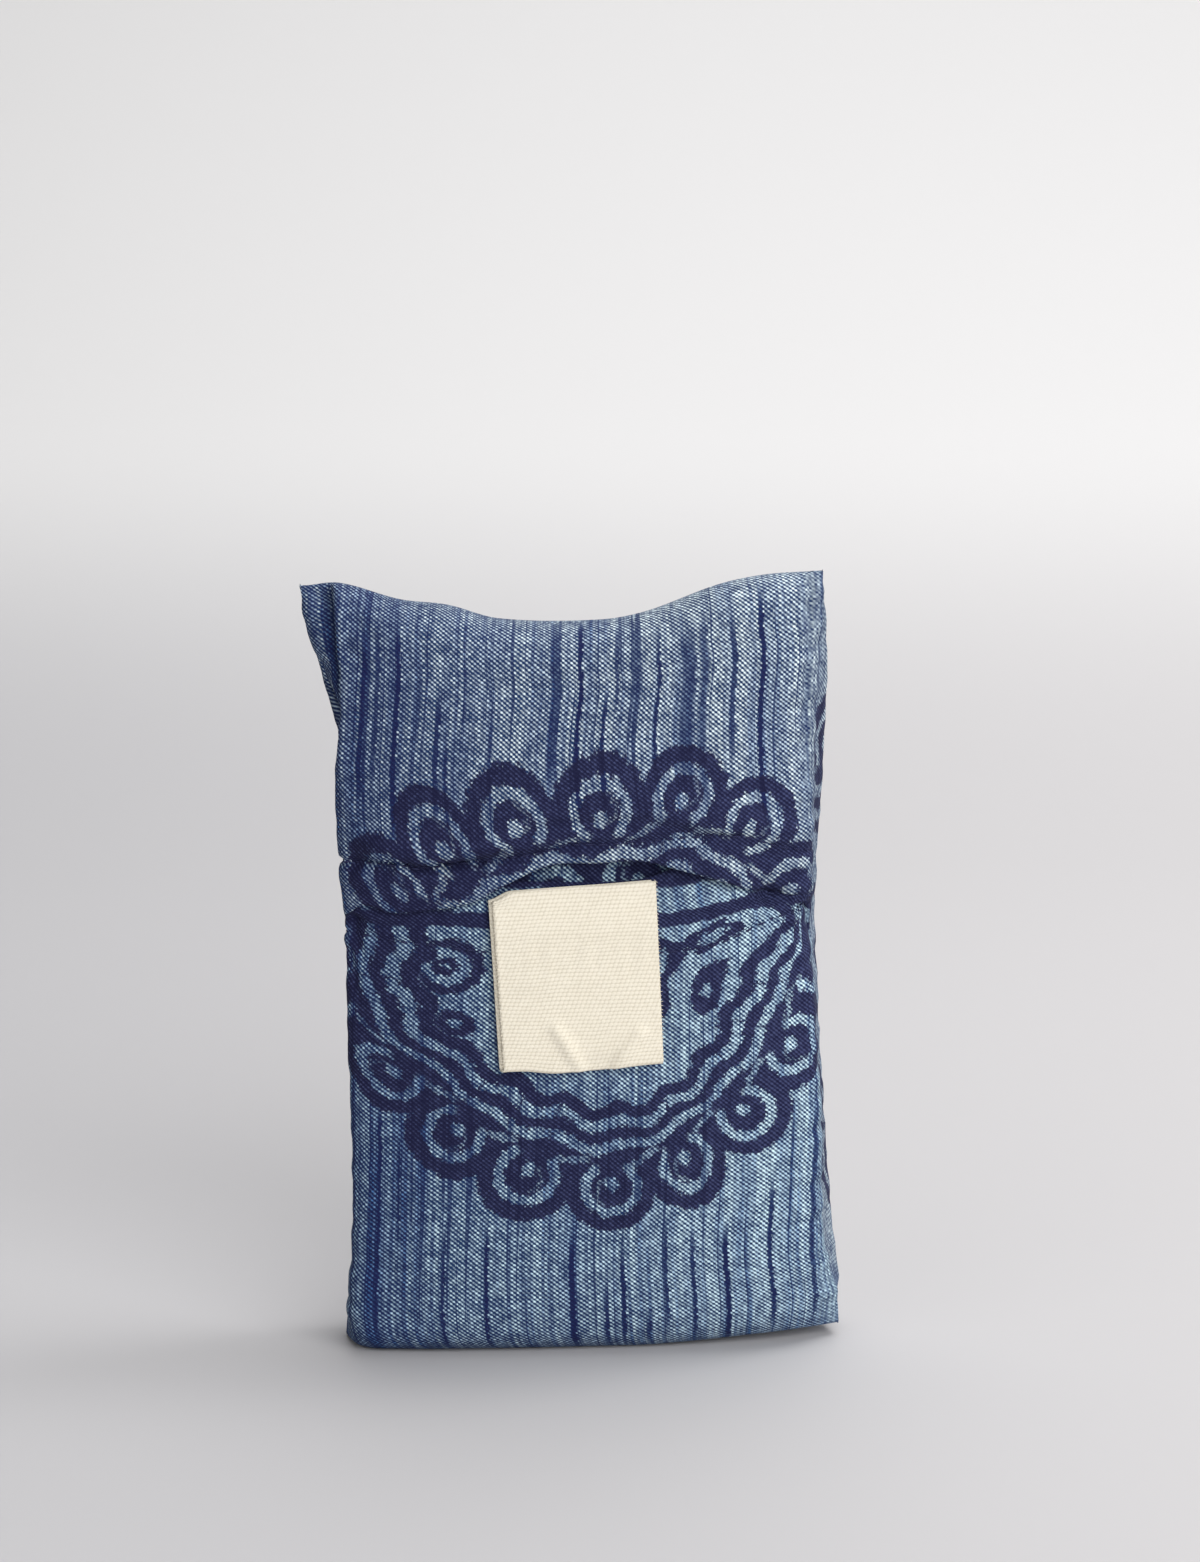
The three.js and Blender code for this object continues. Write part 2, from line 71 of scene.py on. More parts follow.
TUCK_START = 10  # how far below the lip the lower end begins to lean in
CENTRE = (1.7, 2.3)  # where the middle between the seams lies in the frame
# z, twist, x and y of the left seam, x and y of the right one, then left, right, edge and middle of the
# front, and the same of the back
SECTIONS = np.array(
    [
        (0, 0.1, -61.5, 0, 66.5, 2, -57, 60, -9.5, -14.5, -58, 62, 10, 14.5),
        (12, 0.06, -60.4, 0, 65.5, -1, -59.4, 61.7, -11, -17.3, -59.4, 65.7, 10.5, 16.5),
        (30, 0.03, -57.6, 1, 62, -3.5, -58.4, 60.7, -11.5, -18.2, -58, 64.2, 10.5, 17),
        (60, 0, -56.6, 1, 61.3, -2.5, -58.8, 59.6, -11.5, -18.6, -58, 61.6, 11, 17.4),
        (90, 0, -57, 0, 59.3, -1, -59.6, 58.2, -11, -18.4, -58.4, 60, 11, 17.6),
        (110, 0, -58, -1, 58.2, 0, -60, 56.4, -10, -18, -59, 59, 11, 17.4),
        (128, 0, -58.5, 0, 58.6, -2, -61.4, 57.4, -10.5, -18, -59.5, 59.6, 11, 17),
        (150, 0, -60.4, 1, 58.4, -4, -62.2, 56.6, -10, -17.2, -60, 61, 10, 16),
        (162, 0, -64, 1, 58.9, -4, -63, 57, -8.8, -15.6, -61.4, 61.6, 8.8, 14.2),
        (171, 0, -66.8, 1, 59.6, -3, -63.4, 57.4, -7.6, -13.8, -62, 61.6, 7.4, 12.4),
        (180, 0, -69.6, 1, 60.2, -2, -63.6, 57, -5.8, -11.6, -63, 61, 5.5, 10.4),
        (189, 0, -71.2, 1, 60.4, 0, -64, 56, -4, -9.4, -64, 59.6, 4, 8.6),
    ]
)
CROWN = [(0.1, 0.62), (0.3, 0.95), (0.5, 1), (0.7, 0.95), (0.9, 0.62)]  # share of the width, of the rise
SIDE_SPANS = 8  # stretches of a section's curve from seam to seam on one side
LOOP_POINTS = 2 * (SIDE_SPANS + 1)
CREST = np.array(  # x, z of the top fold from ear to ear
    [(-70, 197.3), (-61, 198), (-46, 193.8), (-34, 192.4), (-21, 188.9), (4, 188.6), (16, 190.8),
     (34, 197.6), (46, 200.2), (60, 201.2)]
)
CORNER_LIFT = np.array(  # x, how far the base is off the surface
    [(-70, 2.4), (-60, 0.8), (-52, 0), (14, 0), (30, 0.8), (44, 1.9), (68, 3.4)]
)
MOUTH = np.array(
    [  # x, the upper hem's height, how far it stands off, the lower lip's height, how far it leans in
        (-61, 115, 0.5, 125, 0),
        (-56, 118.2, 1.5, 125, 0.3),
        (-49, 117, 2, 125, 0.8),
        (-42, 117.4, 2, 125, 1.2),
        (-28, 120.2, 2.2, 125, 2.2),
        (-18, 125.2, 1.6, 124.8, 2.6),
        (-8, 129.4, 0.4, 124.6, 2.6),
        (4, 130, 0, 124.6, 2.6),
        (15, 130.4, 0.4, 125.2, 3),
        (24, 128.4, 1.2, 128, 3.8),
        (36, 125, 1.8, 129, 3.8),
        (47, 121.2, 0.4, 127, 2.2),
        (52, 120.4, 0.1, 126.6, 0.9),
        (59, 119, 0.06, 126, 0),
    ]
)
FLAP = np.array(  # share of its length from the hem up, how far the upper end stands off, its bulge
    [(0, 1, 0), (0.2, 0.85, 0), (0.29, 0.7, 0.1), (0.36, 0.6, 2.1), (0.45, 0.35, 2.4), (0.6, 0.1, 1.4),
     (0.8, 0, 0.4), (1, 0, 0)]
)
CREASES = [  # x0, z0, x1, z1, width, depth of soft troughs in the front
    (58, 114, 50, 97, 2.6, 1.7),
    (57, 113, 42, 105, 2.2, 1.0),
    (58, 109, 56, 85, 2.4, 1.0),
    (-60, 113, -50, 101, 2.4, 0.9),
    (60, 185, 55, 153, 2.2, 0.9),
    (-59, 182, -52, 177, 2.2, 1.0),
    (-22, 173, 12, 174, 3.4, 0.6),
    (60, 45, 63, 15, 2.4, 1.0),
    (-50, 21, -16, 16, 3.0, 0.5),
]


def smooth(value, low, high):
    t = np.clip((value - low) / (high - low), 0, 1)
    return t * t * (3 - 2 * t)


def swelling(value, middle, wide):
    """A bell-shaped rise, 1 at its middle."""
    return np.exp(-(((value - middle) / wide) ** 2))


def along_table(table, column, where):
    """The value of a table's column between its rows, on a smooth curve through them."""
    places, values = table[:, 0].astype(float), table[:, column].astype(float)
    rows = np.arange(len(places))
    before, after = np.maximum(rows - 1, 0), np.minimum(rows + 1, len(places) - 1)
    slopes = (values[after] - values[before]) / (places[after] - places[before])
    w = np.clip(where, places[0], places[-1])
    i = np.clip(np.searchsorted(places, w, side="right") - 1, 0, len(places) - 2)
    step = places[i + 1] - places[i]
    u = (w - places[i]) / step
    return (
        values[i] * (1 + 2 * u) * (1 - u) ** 2
        + values[i + 1] * u * u * (3 - 2 * u)
        + step * (slopes[i] * u * (1 - u) ** 2 - slopes[i + 1] * u * u * (1 - u))
    )


def trough(x, z, x0, z0, x1, z1, wide, deep, fade=0.8):
    """The depth of a soft trough that runs from one point to another and fades along its way."""
    run = (x1 - x0, z1 - z0)
    s = np.clip(((x - x0) * run[0] + (z - z0) * run[1]) / (run[0] ** 2 + run[1] ** 2), 0, 1)
    away = np.hypot(x - x0 - s * run[0], z - z0 - s * run[1])
    return deep * swelling(away, 0, wide) * (1 - fade * s)


def base_lift(x, height):
    return np.maximum(along_table(CORNER_LIFT, 1, x), 0) * (1 - smooth(height, 0, LIFT_REACH))


def true_height(x, height):
    ear = (along_table(CREST, 1, x) - HEIGHT) * smooth(height, HEIGHT - EAR_REACH, HEIGHT)
    return height + ear + base_lift(x, height)


def section_point(front, across, height):
    """Where the cloth lies at a share of the way from the left seam to the right one, as x and y."""
    column = [along_table(SECTIONS, k, height) for k in range(1, SECTIONS.shape[1])]
    twist, left_x, left_y, right_x, right_y = column[:5]
    loop = []
    for (left, right, edge, middle), out in ((column[5:9], -1), (column[9:13], 1)):
        side = [(left_x, left_y + out * SEAM_HALF), (left, edge + twist * left)]
        for share, rise in CROWN:
            x = left + (right - left) * share
            side.append((x, edge + (middle - edge) * rise + twist * x))
        side += [(right, edge + twist * right), (right_x, right_y + out * SEAM_HALF)]
        loop += side if out < 0 else side[::-1]
    loop = np.array([np.stack(np.broadcast_arrays(*p), -1) for p in loop])
    run = np.where(front, across * SIDE_SPANS, LOOP_POINTS - 1 - across * SIDE_SPANS)
    first = np.clip(np.floor(run), 0, LOOP_POINTS - 1).astype(int)
    w = (run - first)[..., None]
    grid = np.indices(first.shape)
    p0, p1, p2, p3 = (loop[(first + k) % LOOP_POINTS, *grid] for k in (-1, 0, 1, 2))
    gap = [np.maximum(np.linalg.norm(b - a, axis=-1, keepdims=True) ** 0.5, 1e-4)
           for a, b in ((p0, p1), (p1, p2), (p2, p3))]
    t1 = ((p1 - p0) / gap[0] - (p2 - p0) / (gap[0] + gap[1]) + (p2 - p1) / gap[1]) * gap[1]
    t2 = ((p2 - p1) / gap[1] - (p3 - p1) / (gap[1] + gap[2]) + (p3 - p2) / gap[2]) * gap[1]
    point = p1 + t1 * w + (-3 * p1 + 3 * p2 - 2 * t1 - t2) * w**2 + (2 * p1 - 2 * p2 + t1 + t2) * w**3
    seam_y = left_y + (right_y - left_y) * across
    return point[..., 0], point[..., 1], seam_y


def cloth_point(front, across, height, closing):
    """A place on the cloth, and the seam's depth there. closing is 1 on the walls and 0 in a flat fold."""
    x, y, seam_y = section_point(front, across, height)
    z = true_height(x, height)
    folds = sum(trough(x, z, *row) for row in CREASES)
    return x, seam_y + (y - seam_y) * closing + np.where(front, folds * closing, 0), z, seam_y


def lip_lean(x, z):
    lip = along_table(MOUTH, 3, x)
    return along_table(MOUTH, 4, x) * smooth(z, lip - TUCK_START, lip)


def flap_standoff(x, height, hem):
    share = (height - hem) / FLAP_LENGTH
    in_from_side = smooth(HALF_WIDTH - np.abs(x), 0, BELLY_FADE)
    standoff = along_table(MOUTH, 2, x) * along_table(FLAP, 1, share)
    return standoff + along_table(FLAP, 2, share) * in_from_side


# Columns of the strip run from seam to seam, closer together near the seams.
SPAN_ENDS = [0, 10, 22, 46, 70, 94, 118, 130, 140]  # where a section's stretches end, across the cloth
EDGE_ZONE, EDGE_STEP, STEP = 14, 0.6, 1.2
full = SPAN_ENDS[-1]
arc_steps = np.concatenate(
    [np.arange(0, EDGE_ZONE, EDGE_STEP), np.arange(EDGE_ZONE, full - EDGE_ZONE, STEP),
     np.arange(full - EDGE_ZONE, full, EDGE_STEP)]
)
COLUMNS = len(arc_steps) - 1
across = np.interp(arc_steps * full / arc_steps[-1], SPAN_ENDS, np.linspace(0, 1, SIDE_SPANS + 1))
everywhere = np.full(across.shape, True)
mouth_x = cloth_point(everywhere, across, np.full(across.shape, float(MOUTH_HEIGHT)), 1)[0]
lip_height = along_table(MOUTH, 3, mouth_x)
hem_height = along_table(MOUTH, 1, mouth_x)

# Rows run from the lip of its lower end down, under, up the back, over the top and down to its hem.
LOWER_ROWS, BACK_ROWS, UPPER_ROWS, BASE_TURNS, TOP_TURNS = 105, 82, 61, 9, 10
TOP_CLOSING = 0.92  # how nearly the two layers close at the top fold
level = np.ones(COLUMNS + 1)
wall_top = HEIGHT - TOP_FOLD
flat_closing = 1 - BASE_FOLD / HALF_DEPTH
strip_rows = []  # stretch, whether it is at the front, heights, closing
for share in np.linspace(0, 1, LOWER_ROWS + 1)[:-1]:
    strip_rows.append(("lower", True, lip_height + (BASE_FOLD - lip_height) * share, 1))
for front in (True, False):
    turned = []
    for angle in np.linspace(0, 1, BASE_TURNS) * math.pi / 2:
        turn_closing = flat_closing + (1 - flat_closing) * math.cos(angle)
        turned.append(("base", front, level * BASE_FOLD * (1 - math.sin(angle)), turn_closing))
    under = [("base", front, level * 0, flat_closing * share) for share in (0.8, 0.6, 0.4, 0.2)]
    if front:
        strip_rows += turned + under + [("base", True, level * 0, 0)]
    else:
        strip_rows += under[::-1] + turned[::-1]
for share in np.linspace(0, 1, BACK_ROWS + 2)[1:-1]:
    strip_rows.append(("back", False, level * (BASE_FOLD + (wall_top - BASE_FOLD) * share), 1))
for front in (False, True):
    bends = [
        ("top", front, level * (HEIGHT - TOP_FOLD * (1 - math.cos(angle))), math.sin(angle))
        for angle in (1 - TOP_CLOSING * np.linspace(0, 1, TOP_TURNS)) * math.pi / 2
    ]
    strip_rows += bends[::-1] if front else bends
for share in np.linspace(0, 1, UPPER_ROWS + 1)[1:]:
    strip_rows.append(("upper", True, wall_top + (hem_height - wall_top) * share, 1))

stretch = np.array([row[0] for row in strip_rows])
at_front = np.array([row[1] for row in strip_rows])[:, None] & everywhere
height = np.array([row[2] for row in strip_rows], float)
closing = np.array([[row[3]] for row in strip_rows], float) * level
x, y, z, seam_y = cloth_point(at_front, across + 0 * height, height, closing)
plain_step = np.sqrt(np.diff(x, axis=1) ** 2 + np.diff(y, axis=1) ** 2 + np.diff(z, axis=1) ** 2)
is_lower = (stretch == "lower")[:, None]
is_upper = ((stretch == "upper") | ((stretch == "top") & at_front[:, 0]))[:, None]
y = y + np.where(is_lower, lip_lean(x, z), 0) - np.where(is_upper, flap_standoff(x, height, hem_height), 0)

# Each side edge rolls in to the seam.
SEAM_ROLL = [(0.3, 0.62), (1.3, 0.3), (3.2, 0.1)]  # how far in from the edge, its share of the half seam
ROLL_CLOTH = 0.3  # share of its thickness that the cloth keeps there
ROLL = len(SEAM_ROLL)
left_roll = [(x[:, :1] + inward, seam_y[:, :1] + (y[:, :1] - seam_y[:, :1]) * share, z[:, :1])
             for inward, share in SEAM_ROLL]
right_roll = [(x[:, -1:] - inward, seam_y[:, -1:] + (y[:, -1:] - seam_y[:, -1:]) * share, z[:, -1:])
              for inward, share in SEAM_ROLL]
x, y, z = (
    np.hstack([roll[k] for roll in reversed(left_roll)] + [whole] + [roll[k] for roll in right_roll])
    for k, whole in enumerate((x, y, z))
)


def with_rolls(rows):
    """A mask of the strip's rows, widened to take in the rolled edges."""
    return np.pad(rows & everywhere, ((0, 0), (ROLL, ROLL)), mode="edge")


front_mask, lower_mask, upper_mask = with_rolls(at_front), with_rolls(is_lower), with_rolls(is_upper)


def turned_out(x, y, z, side):
    """Unit normals of a grid of points. side is 1 or -1, by which they point out of the folded cloth."""
    p = np.stack([x, y, z], -1)
    normal = side * np.cross(np.gradient(p, axis=1), np.gradient(p, axis=0))
    return normal / np.maximum(np.linalg.norm(normal, axis=-1, keepdims=True), 1e-9)


def ripple(a, seed):
    """An uneven wave between -1 and 1 with a main length of one."""
    turn = 2 * math.pi
    return (
        np.sin(turn * a + seed)
        + 0.7 * np.sin(turn * a * 0.61 + 2.3 * seed)
        + 0.45 * np.sin(turn * a * 1.73 + 4.1 * seed)
    ) / 1.7


HEM_STITCHES = np.array(  # x and z of the upper hem's row of stitches
    [(-60, 129), (-47, 129.4), (-39, 128.6), (-30, 129.8), (-22, 131), (-10, 132.6), (-4, 134.4),
     (5, 134.6), (27, 136.6), (41, 136.6), (50, 133.4), (58, 131.8)]
)
LIP_STITCHES = np.array(  # and of the lower hem's
    [(-58, 110.4), (-44.6, 108.9), (-37.5, 108.4), (-27.5, 107.3), (-20, 106.4), (0, 106.2), (24, 107.1),
     (33, 108.6), (40.3, 111.2), (45.1, 113.5), (57, 117)]
)
SEW_DIP, SEW_WIDE = 0.9, 0.8  # depth and half width of the groove along a row of stitches
SEW_RIPPLE, SEW_PITCH, SEW_REACH = 0.2, 4.6, 3.2  # depth, length and reach of the small puckers beside it
HEM_PULL = np.array(  # x, how hard the upper hem's stitches draw the cloth in
    [(-60, 0.9), (-46, 1.8), (-24, 1.7), (-8, 1.3), (8, 0.8), (26, 0.5), (44, 0.7), (58, 0.4)]
)
HEM_BULGE, BULGE_ABOVE, BULGE_WIDE = 1.3, 4.4, 3.0  # the swelling just over that row
# The mouth is pinched shut to the right of the label.
MOUTH_PINCH, PINCH_X, PINCH_Z, PINCH_WIDE, PINCH_TALL = 2.8, 48, 120.5, 4.4, 3.4
EAR_EDGE = np.array(  # z, x of the crease that parts the left ear from the face
    [(140, -62.4), (155, -61.9), (168, -61.2), (181, -61.6), (190, -62.3), (198, -63)]
)
EAR_PINCH, EAR_PINCH_WIDE, EAR_PINCH_Z = 3.6, 7, (148, 164)  # just behind it
EAR_RIDGE, EAR_RIDGE_Z = 0.6, (140, 160)  # just before it
SIDE_PUCKER, SIDE_REACH = 0.42, 6  # depth of the puckers along the side seams, and how far in they reach
LEFT_PITCH, RIGHT_PITCH = 9.5, 8.3  # from one of them to the next
SWELL = 0.3  # how uneven the filled walls are
SETTLED = (0.5, 14)  # height over which the folds die away towards the base
FINE_FOLDS = [  # x0, z0, x1, z1, width, depth of small troughs, and ridges where it is negative
    (-57, 190, -47, 178, 1.5, 0.6),
    (-56, 186, -50, 176, 1.0, -0.4),
    (-61, 176, -58, 150, 1.6, 0.4),
    (-58, 168, -46, 165, 1.5, 0.3),
    (-42, 191, -24, 183, 1.6, 0.5),
    (-24, 183, 8, 181, 1.6, 0.5),
    (-24, 172, 8, 173, 1.2, 0.3),
    (36, 181, 54, 178, 1.6, 0.35),
    (57.4, 198, 56, 172, 0.9, 1.0),
    (56.4, 178, 55.6, 148, 0.9, 0.9),
    (47, 121, 54, 137, 1.6, 1.0),
    (48, 122, 42, 135, 1.6, 0.8),
    (50, 121, 57, 128, 1.3, 0.8),
    (47, 120.5, 57, 119, 1.4, 1.2),
    (-58, 122, -48, 128, 1.4, 0.6),
    (-59, 126, -50, 138, 1.6, 0.5),
    (-45, 9, -38, 24, 1.8, 0.4),
    (60, 12, 52, 22, 1.6, 0.5),
    (-60, 14, -50, 20, 1.6, 0.5),
    (-50, 14, -10, 18, 1.2, 0.3),
    (14, 13, 46, 12, 1.2, 0.3),
]
LOWER_FOLDS = [  # the same, in the lower end alone, most of them running out from the pinch of the mouth
    (47, 122, 38, 118.6, 1.4, 1.6),
    (39, 118.8, 29, 115.6, 1.3, 1.1),
    (30, 115.8, 16, 114.6, 1.2, 0.8),
    (-60, 114, -24, 113.4, 1.4, 0.5),
    (50, 119, 45, 101, 1.2, 1.6),
    (52, 119, 49.5, 92, 1.1, 1.7),
    (54.8, 118, 54, 88, 1.1, 1.4),
    (57.2, 116, 57.0, 103, 1.2, 3.2),
    (48, 119, 37, 106, 1.3, 1.2),
    (50.5, 115, 47, 98, 0.9, -0.7),
    (53.4, 115, 51.8, 94, 0.9, -0.7),
    (-58, 114, -45, 103, 1.3, 1.2),
    (-58.5, 112, -51, 92, 1.2, 1.1),
    (-59, 106, -55, 84, 1.2, 0.9),
    (-58, 114, -38, 110, 1.2, 0.7),
]


def sewn(line):
    """How far a row of stitches draws the cloth in, on the line and beside it."""
    beside = SEW_RIPPLE * ripple(x / SEW_PITCH, 5.0) * swelling(z, line, SEW_REACH)
    return SEW_DIP * swelling(z, line, SEW_WIDE) + beside


hem_line, lip_line = along_table(HEM_STITCHES, 1, x), along_table(LIP_STITCHES, 1, x)
pull = along_table(HEM_PULL, 1, x)
bulge = HEM_BULGE * pull * swelling(z, hem_line + BULGE_ABOVE, BULGE_WIDE)
bulge = bulge * smooth(HALF_WIDTH - 1 - np.abs(x), 0, 8)
fine = sum(trough(x, z, *row) for row in FINE_FOLDS)
fine = fine + np.where(upper_mask, sewn(hem_line) * (0.4 + 1.4 * pull) - bulge, 0)
fine = fine + np.where(lower_mask, sewn(lip_line) + sum(trough(x, z, *row) for row in LOWER_FOLDS), 0)
fine = fine + MOUTH_PINCH * swelling(x, PINCH_X, PINCH_WIDE) * swelling(z, PINCH_Z, PINCH_TALL)
behind = along_table(EAR_EDGE, 1, z) - x
ear_pinch = smooth(behind, -0.5, 1) * (1 - smooth(behind, 1, EAR_PINCH_WIDE)) * smooth(z, *EAR_PINCH_Z)
ear_ridge = swelling(behind, -1.6, 1.3) * smooth(z, *EAR_RIDGE_Z)
fine = np.where(front_mask, fine + EAR_PINCH * ear_pinch - EAR_RIDGE * ear_ridge, 0)
pucker = SIDE_PUCKER * (
    ripple(z / LEFT_PITCH, 0.7) * swelling(x - x[:, :1], 0, SIDE_REACH)
    + ripple(z / RIGHT_PITCH, 3.9) * swelling(x[:, -1:] - x, 0, SIDE_REACH)
)
swell = SWELL * ripple(x / 31 + z / 83, 1.3) * ripple(z / 37 - x / 90, 2.1)
in_roll = np.zeros(x.shape[1])
in_roll[:ROLL] = in_roll[-ROLL:] = 1
move = (swell + pucker - fine) * smooth(z, *SETTLED) * smooth(closing[:, :1], 0.1, 0.5) * (1 - in_roll)
normal = turned_out(x, y, z, -1)
x, y, z = x + move * normal[..., 0], y + move * normal[..., 1], z + move * normal[..., 2]
z = np.maximum(z, 0)

# The cloth's own coordinates, in millimetres: u from seam to seam, and v along the strip, which is the
# height on the lower front and falls on under the base, up the back and over the top.
CLOTH_WIDTH = 141
SEAM_ALLOWANCE = 0.7
cloth_u = np.hstack([np.zeros((len(x), 1)), np.cumsum(plain_step, axis=1)])
cloth_u = (cloth_u / cloth_u[:, -1:] - 0.5) * CLOTH_WIDTH
allowance = CLOTH_WIDTH / 2 + SEAM_ALLOWANCE + np.array([[inward for inward, share in SEAM_ROLL]])
allowance = allowance + 0 * height[:, :1]
cloth_u = np.hstack([-allowance[:, ::-1], cloth_u, allowance])
column_step = np.hypot(np.hypot(np.diff(x, axis=0), np.diff(y, axis=0)), np.diff(z, axis=0))
run = np.vstack([np.zeros((1, x.shape[1])), np.cumsum(column_step, axis=0)])
foot_row = np.flatnonzero(stretch == "lower")[-1]
crown_row = np.flatnonzero(stretch == "upper")[0]
strip_turn = float(np.mean(run[crown_row] - run[foot_row] - z[foot_row] + z[crown_row]))
turn_share = (run - run[foot_row]) / (run[crown_row] - run[foot_row])
cloth_v = z[foot_row] - turn_share * (z[foot_row] - z[crown_row] + strip_turn)
cloth_v = np.where(with_rolls((stretch == "upper")[:, None]), z - strip_turn, cloth_v)
cloth_v = np.where(lower_mask, z[foot_row] + run[foot_row] - run, cloth_v)

# The print's place on the cloth. On the upper end it sags towards the middle. On the lower end the gathers
# draw it up and out to both sides.
PRINT_X, PRINT_HEIGHT = 4.4, 99  # the middle of the flower on the front
UPPER_DRAW = np.array(  # x, how far the print lies below its even place
    [(-60, -4), (-52, -2), (-39, 4.5), (-22, 11.5), (0, 13.5), (12, 11), (23, 4), (44, -4), (58, -5)]
)
LEFT_DRAW = np.array(  # z, how far out it is drawn at the left side
    [(60, 0), (74, 1), (86, 11), (101, 16), (118, 17), (126, 17)]
)
RIGHT_DRAW = np.array(
    [(28, 0), (50, -5), (66, -6), (80, -4), (92, 0), (101, 3), (108, 11), (113, 14), (121, 15), (130, 15)]
)
PINCH_DRAW, LOW_DRAW = 4.2, 4
upper_draw = along_table(UPPER_DRAW, 1, x) * (1 - smooth(z, 140, 185))
lower_draw = -PINCH_DRAW * smooth(x, 20, 46) * smooth(z, 98, 112)
lower_draw = lower_draw - LOW_DRAW * (1 - smooth(z, 45, PRINT_HEIGHT)) * smooth(z, 0, 26)
print_rise = cloth_v + np.where(upper_mask, upper_draw, 0)
print_rise = np.where(lower_mask, z + lower_draw, print_rise)
left_draw = along_table(LEFT_DRAW, 1, z) * smooth(-x, -6, 58)
right_draw = along_table(RIGHT_DRAW, 1, z) * smooth(x, 0, 56)
print_place = cloth_u + np.where(lower_mask, left_draw - right_draw, 0)
print_row = int(np.argmin(np.abs(height[: foot_row + 1, COLUMNS // 2] - PRINT_HEIGHT)))
print_u = float(np.interp(PRINT_X, x[print_row], print_place[print_row]))

EDGE_EASE = 0.32, 0.1  # how far the last two rows draw in at each end, which rounds a hem's edge


def cloth_mesh(name, x, y, z, maps, thick, normal, side):
    """A sheet with its thickness behind the given face, closed round its edges, in the frame's metres."""
    rows, columns = x.shape
    outer = np.stack([x, y, z], -1)
    inner = outer - normal * thick[..., None]
    ease = np.zeros((rows, 1))
    ease[[0, -1]], ease[[1, -2]] = EDGE_EASE
    rounding = normal * (thick * ease)[..., None]
    outer, inner = outer - rounding, inner + rounding
    place = np.concatenate([outer.reshape(-1, 3), inner.reshape(-1, 3)])
    place = (place + np.array([*CENTRE, 0])) * 0.001
    index = np.arange(rows * columns).reshape(rows, columns)
    quads = np.stack([index[:-1, :-1], index[:-1, 1:], index[1:, 1:], index[1:, :-1]], -1).reshape(-1, 4)
    back = quads[:, ::-1] + rows * columns
    rim = []
    for line in (index[0, :], index[:, -1], index[-1, ::-1], index[::-1, 0]):
        a, b = line[:-1], line[1:]
        rim.append(np.stack([b, a, a + rows * columns, b + rows * columns], -1))
    faces = np.concatenate([quads, back, *rim])[:, ::side]
    mesh = bpy.data.meshes.new(name)
    mesh.from_pydata(place.tolist(), [], faces.tolist())
    corner = np.zeros(len(mesh.loops), np.int32)
    mesh.loops.foreach_get("vertex_index", corner)
    for map_name, (u, v) in maps.items():
        uv = np.stack([np.tile(u.ravel(), 2), np.tile(v.ravel(), 2)], -1)[corner]
        mesh.uv_layers.new(name=map_name).data.foreach_set("uv", uv.astype(np.float32).ravel())
    mesh.shade_smooth()
    mesh.update()
    piece = bpy.data.objects.new(name, mesh)
    bpy.context.scene.collection.objects.link(piece)
    return piece


normal = turned_out(x, y, z, -1)
hem_band = np.where(upper_mask, smooth(hem_line - z, -0.5, 0.8), 0)
lip_band = np.where(lower_mask, smooth(z - lip_line, -0.5, 0.8), 0)
thick = (CLOTH + HEM_EXTRA * hem_band + LIP_EXTRA * lip_band) * np.where(in_roll > 0, ROLL_CLOTH, 1)
pouch_maps = {"cloth": (cloth_u, cloth_v), "print": (print_place, print_rise)}
pouch = cloth_mesh("pouch_cloth", x, y, z, pouch_maps, thick, normal, -1)


# The printed cotton
# A plain weave of pale and blue threads with blue and navy streaks along the warp. Over it lies a navy
# block print: a round flower of scallops, wavy bands and leaves, which repeats along the cloth.
def dye(red, green, blue):
    """A colour as the eye sees it, from 0 to 255, in the form that a shader takes."""
    seen = [c / 255 for c in (red, green, blue)]
    return (*(((c + 0.055) / 1.055) ** 2.4 if c > 0.04045 else c / 12.92 for c in seen), 1)


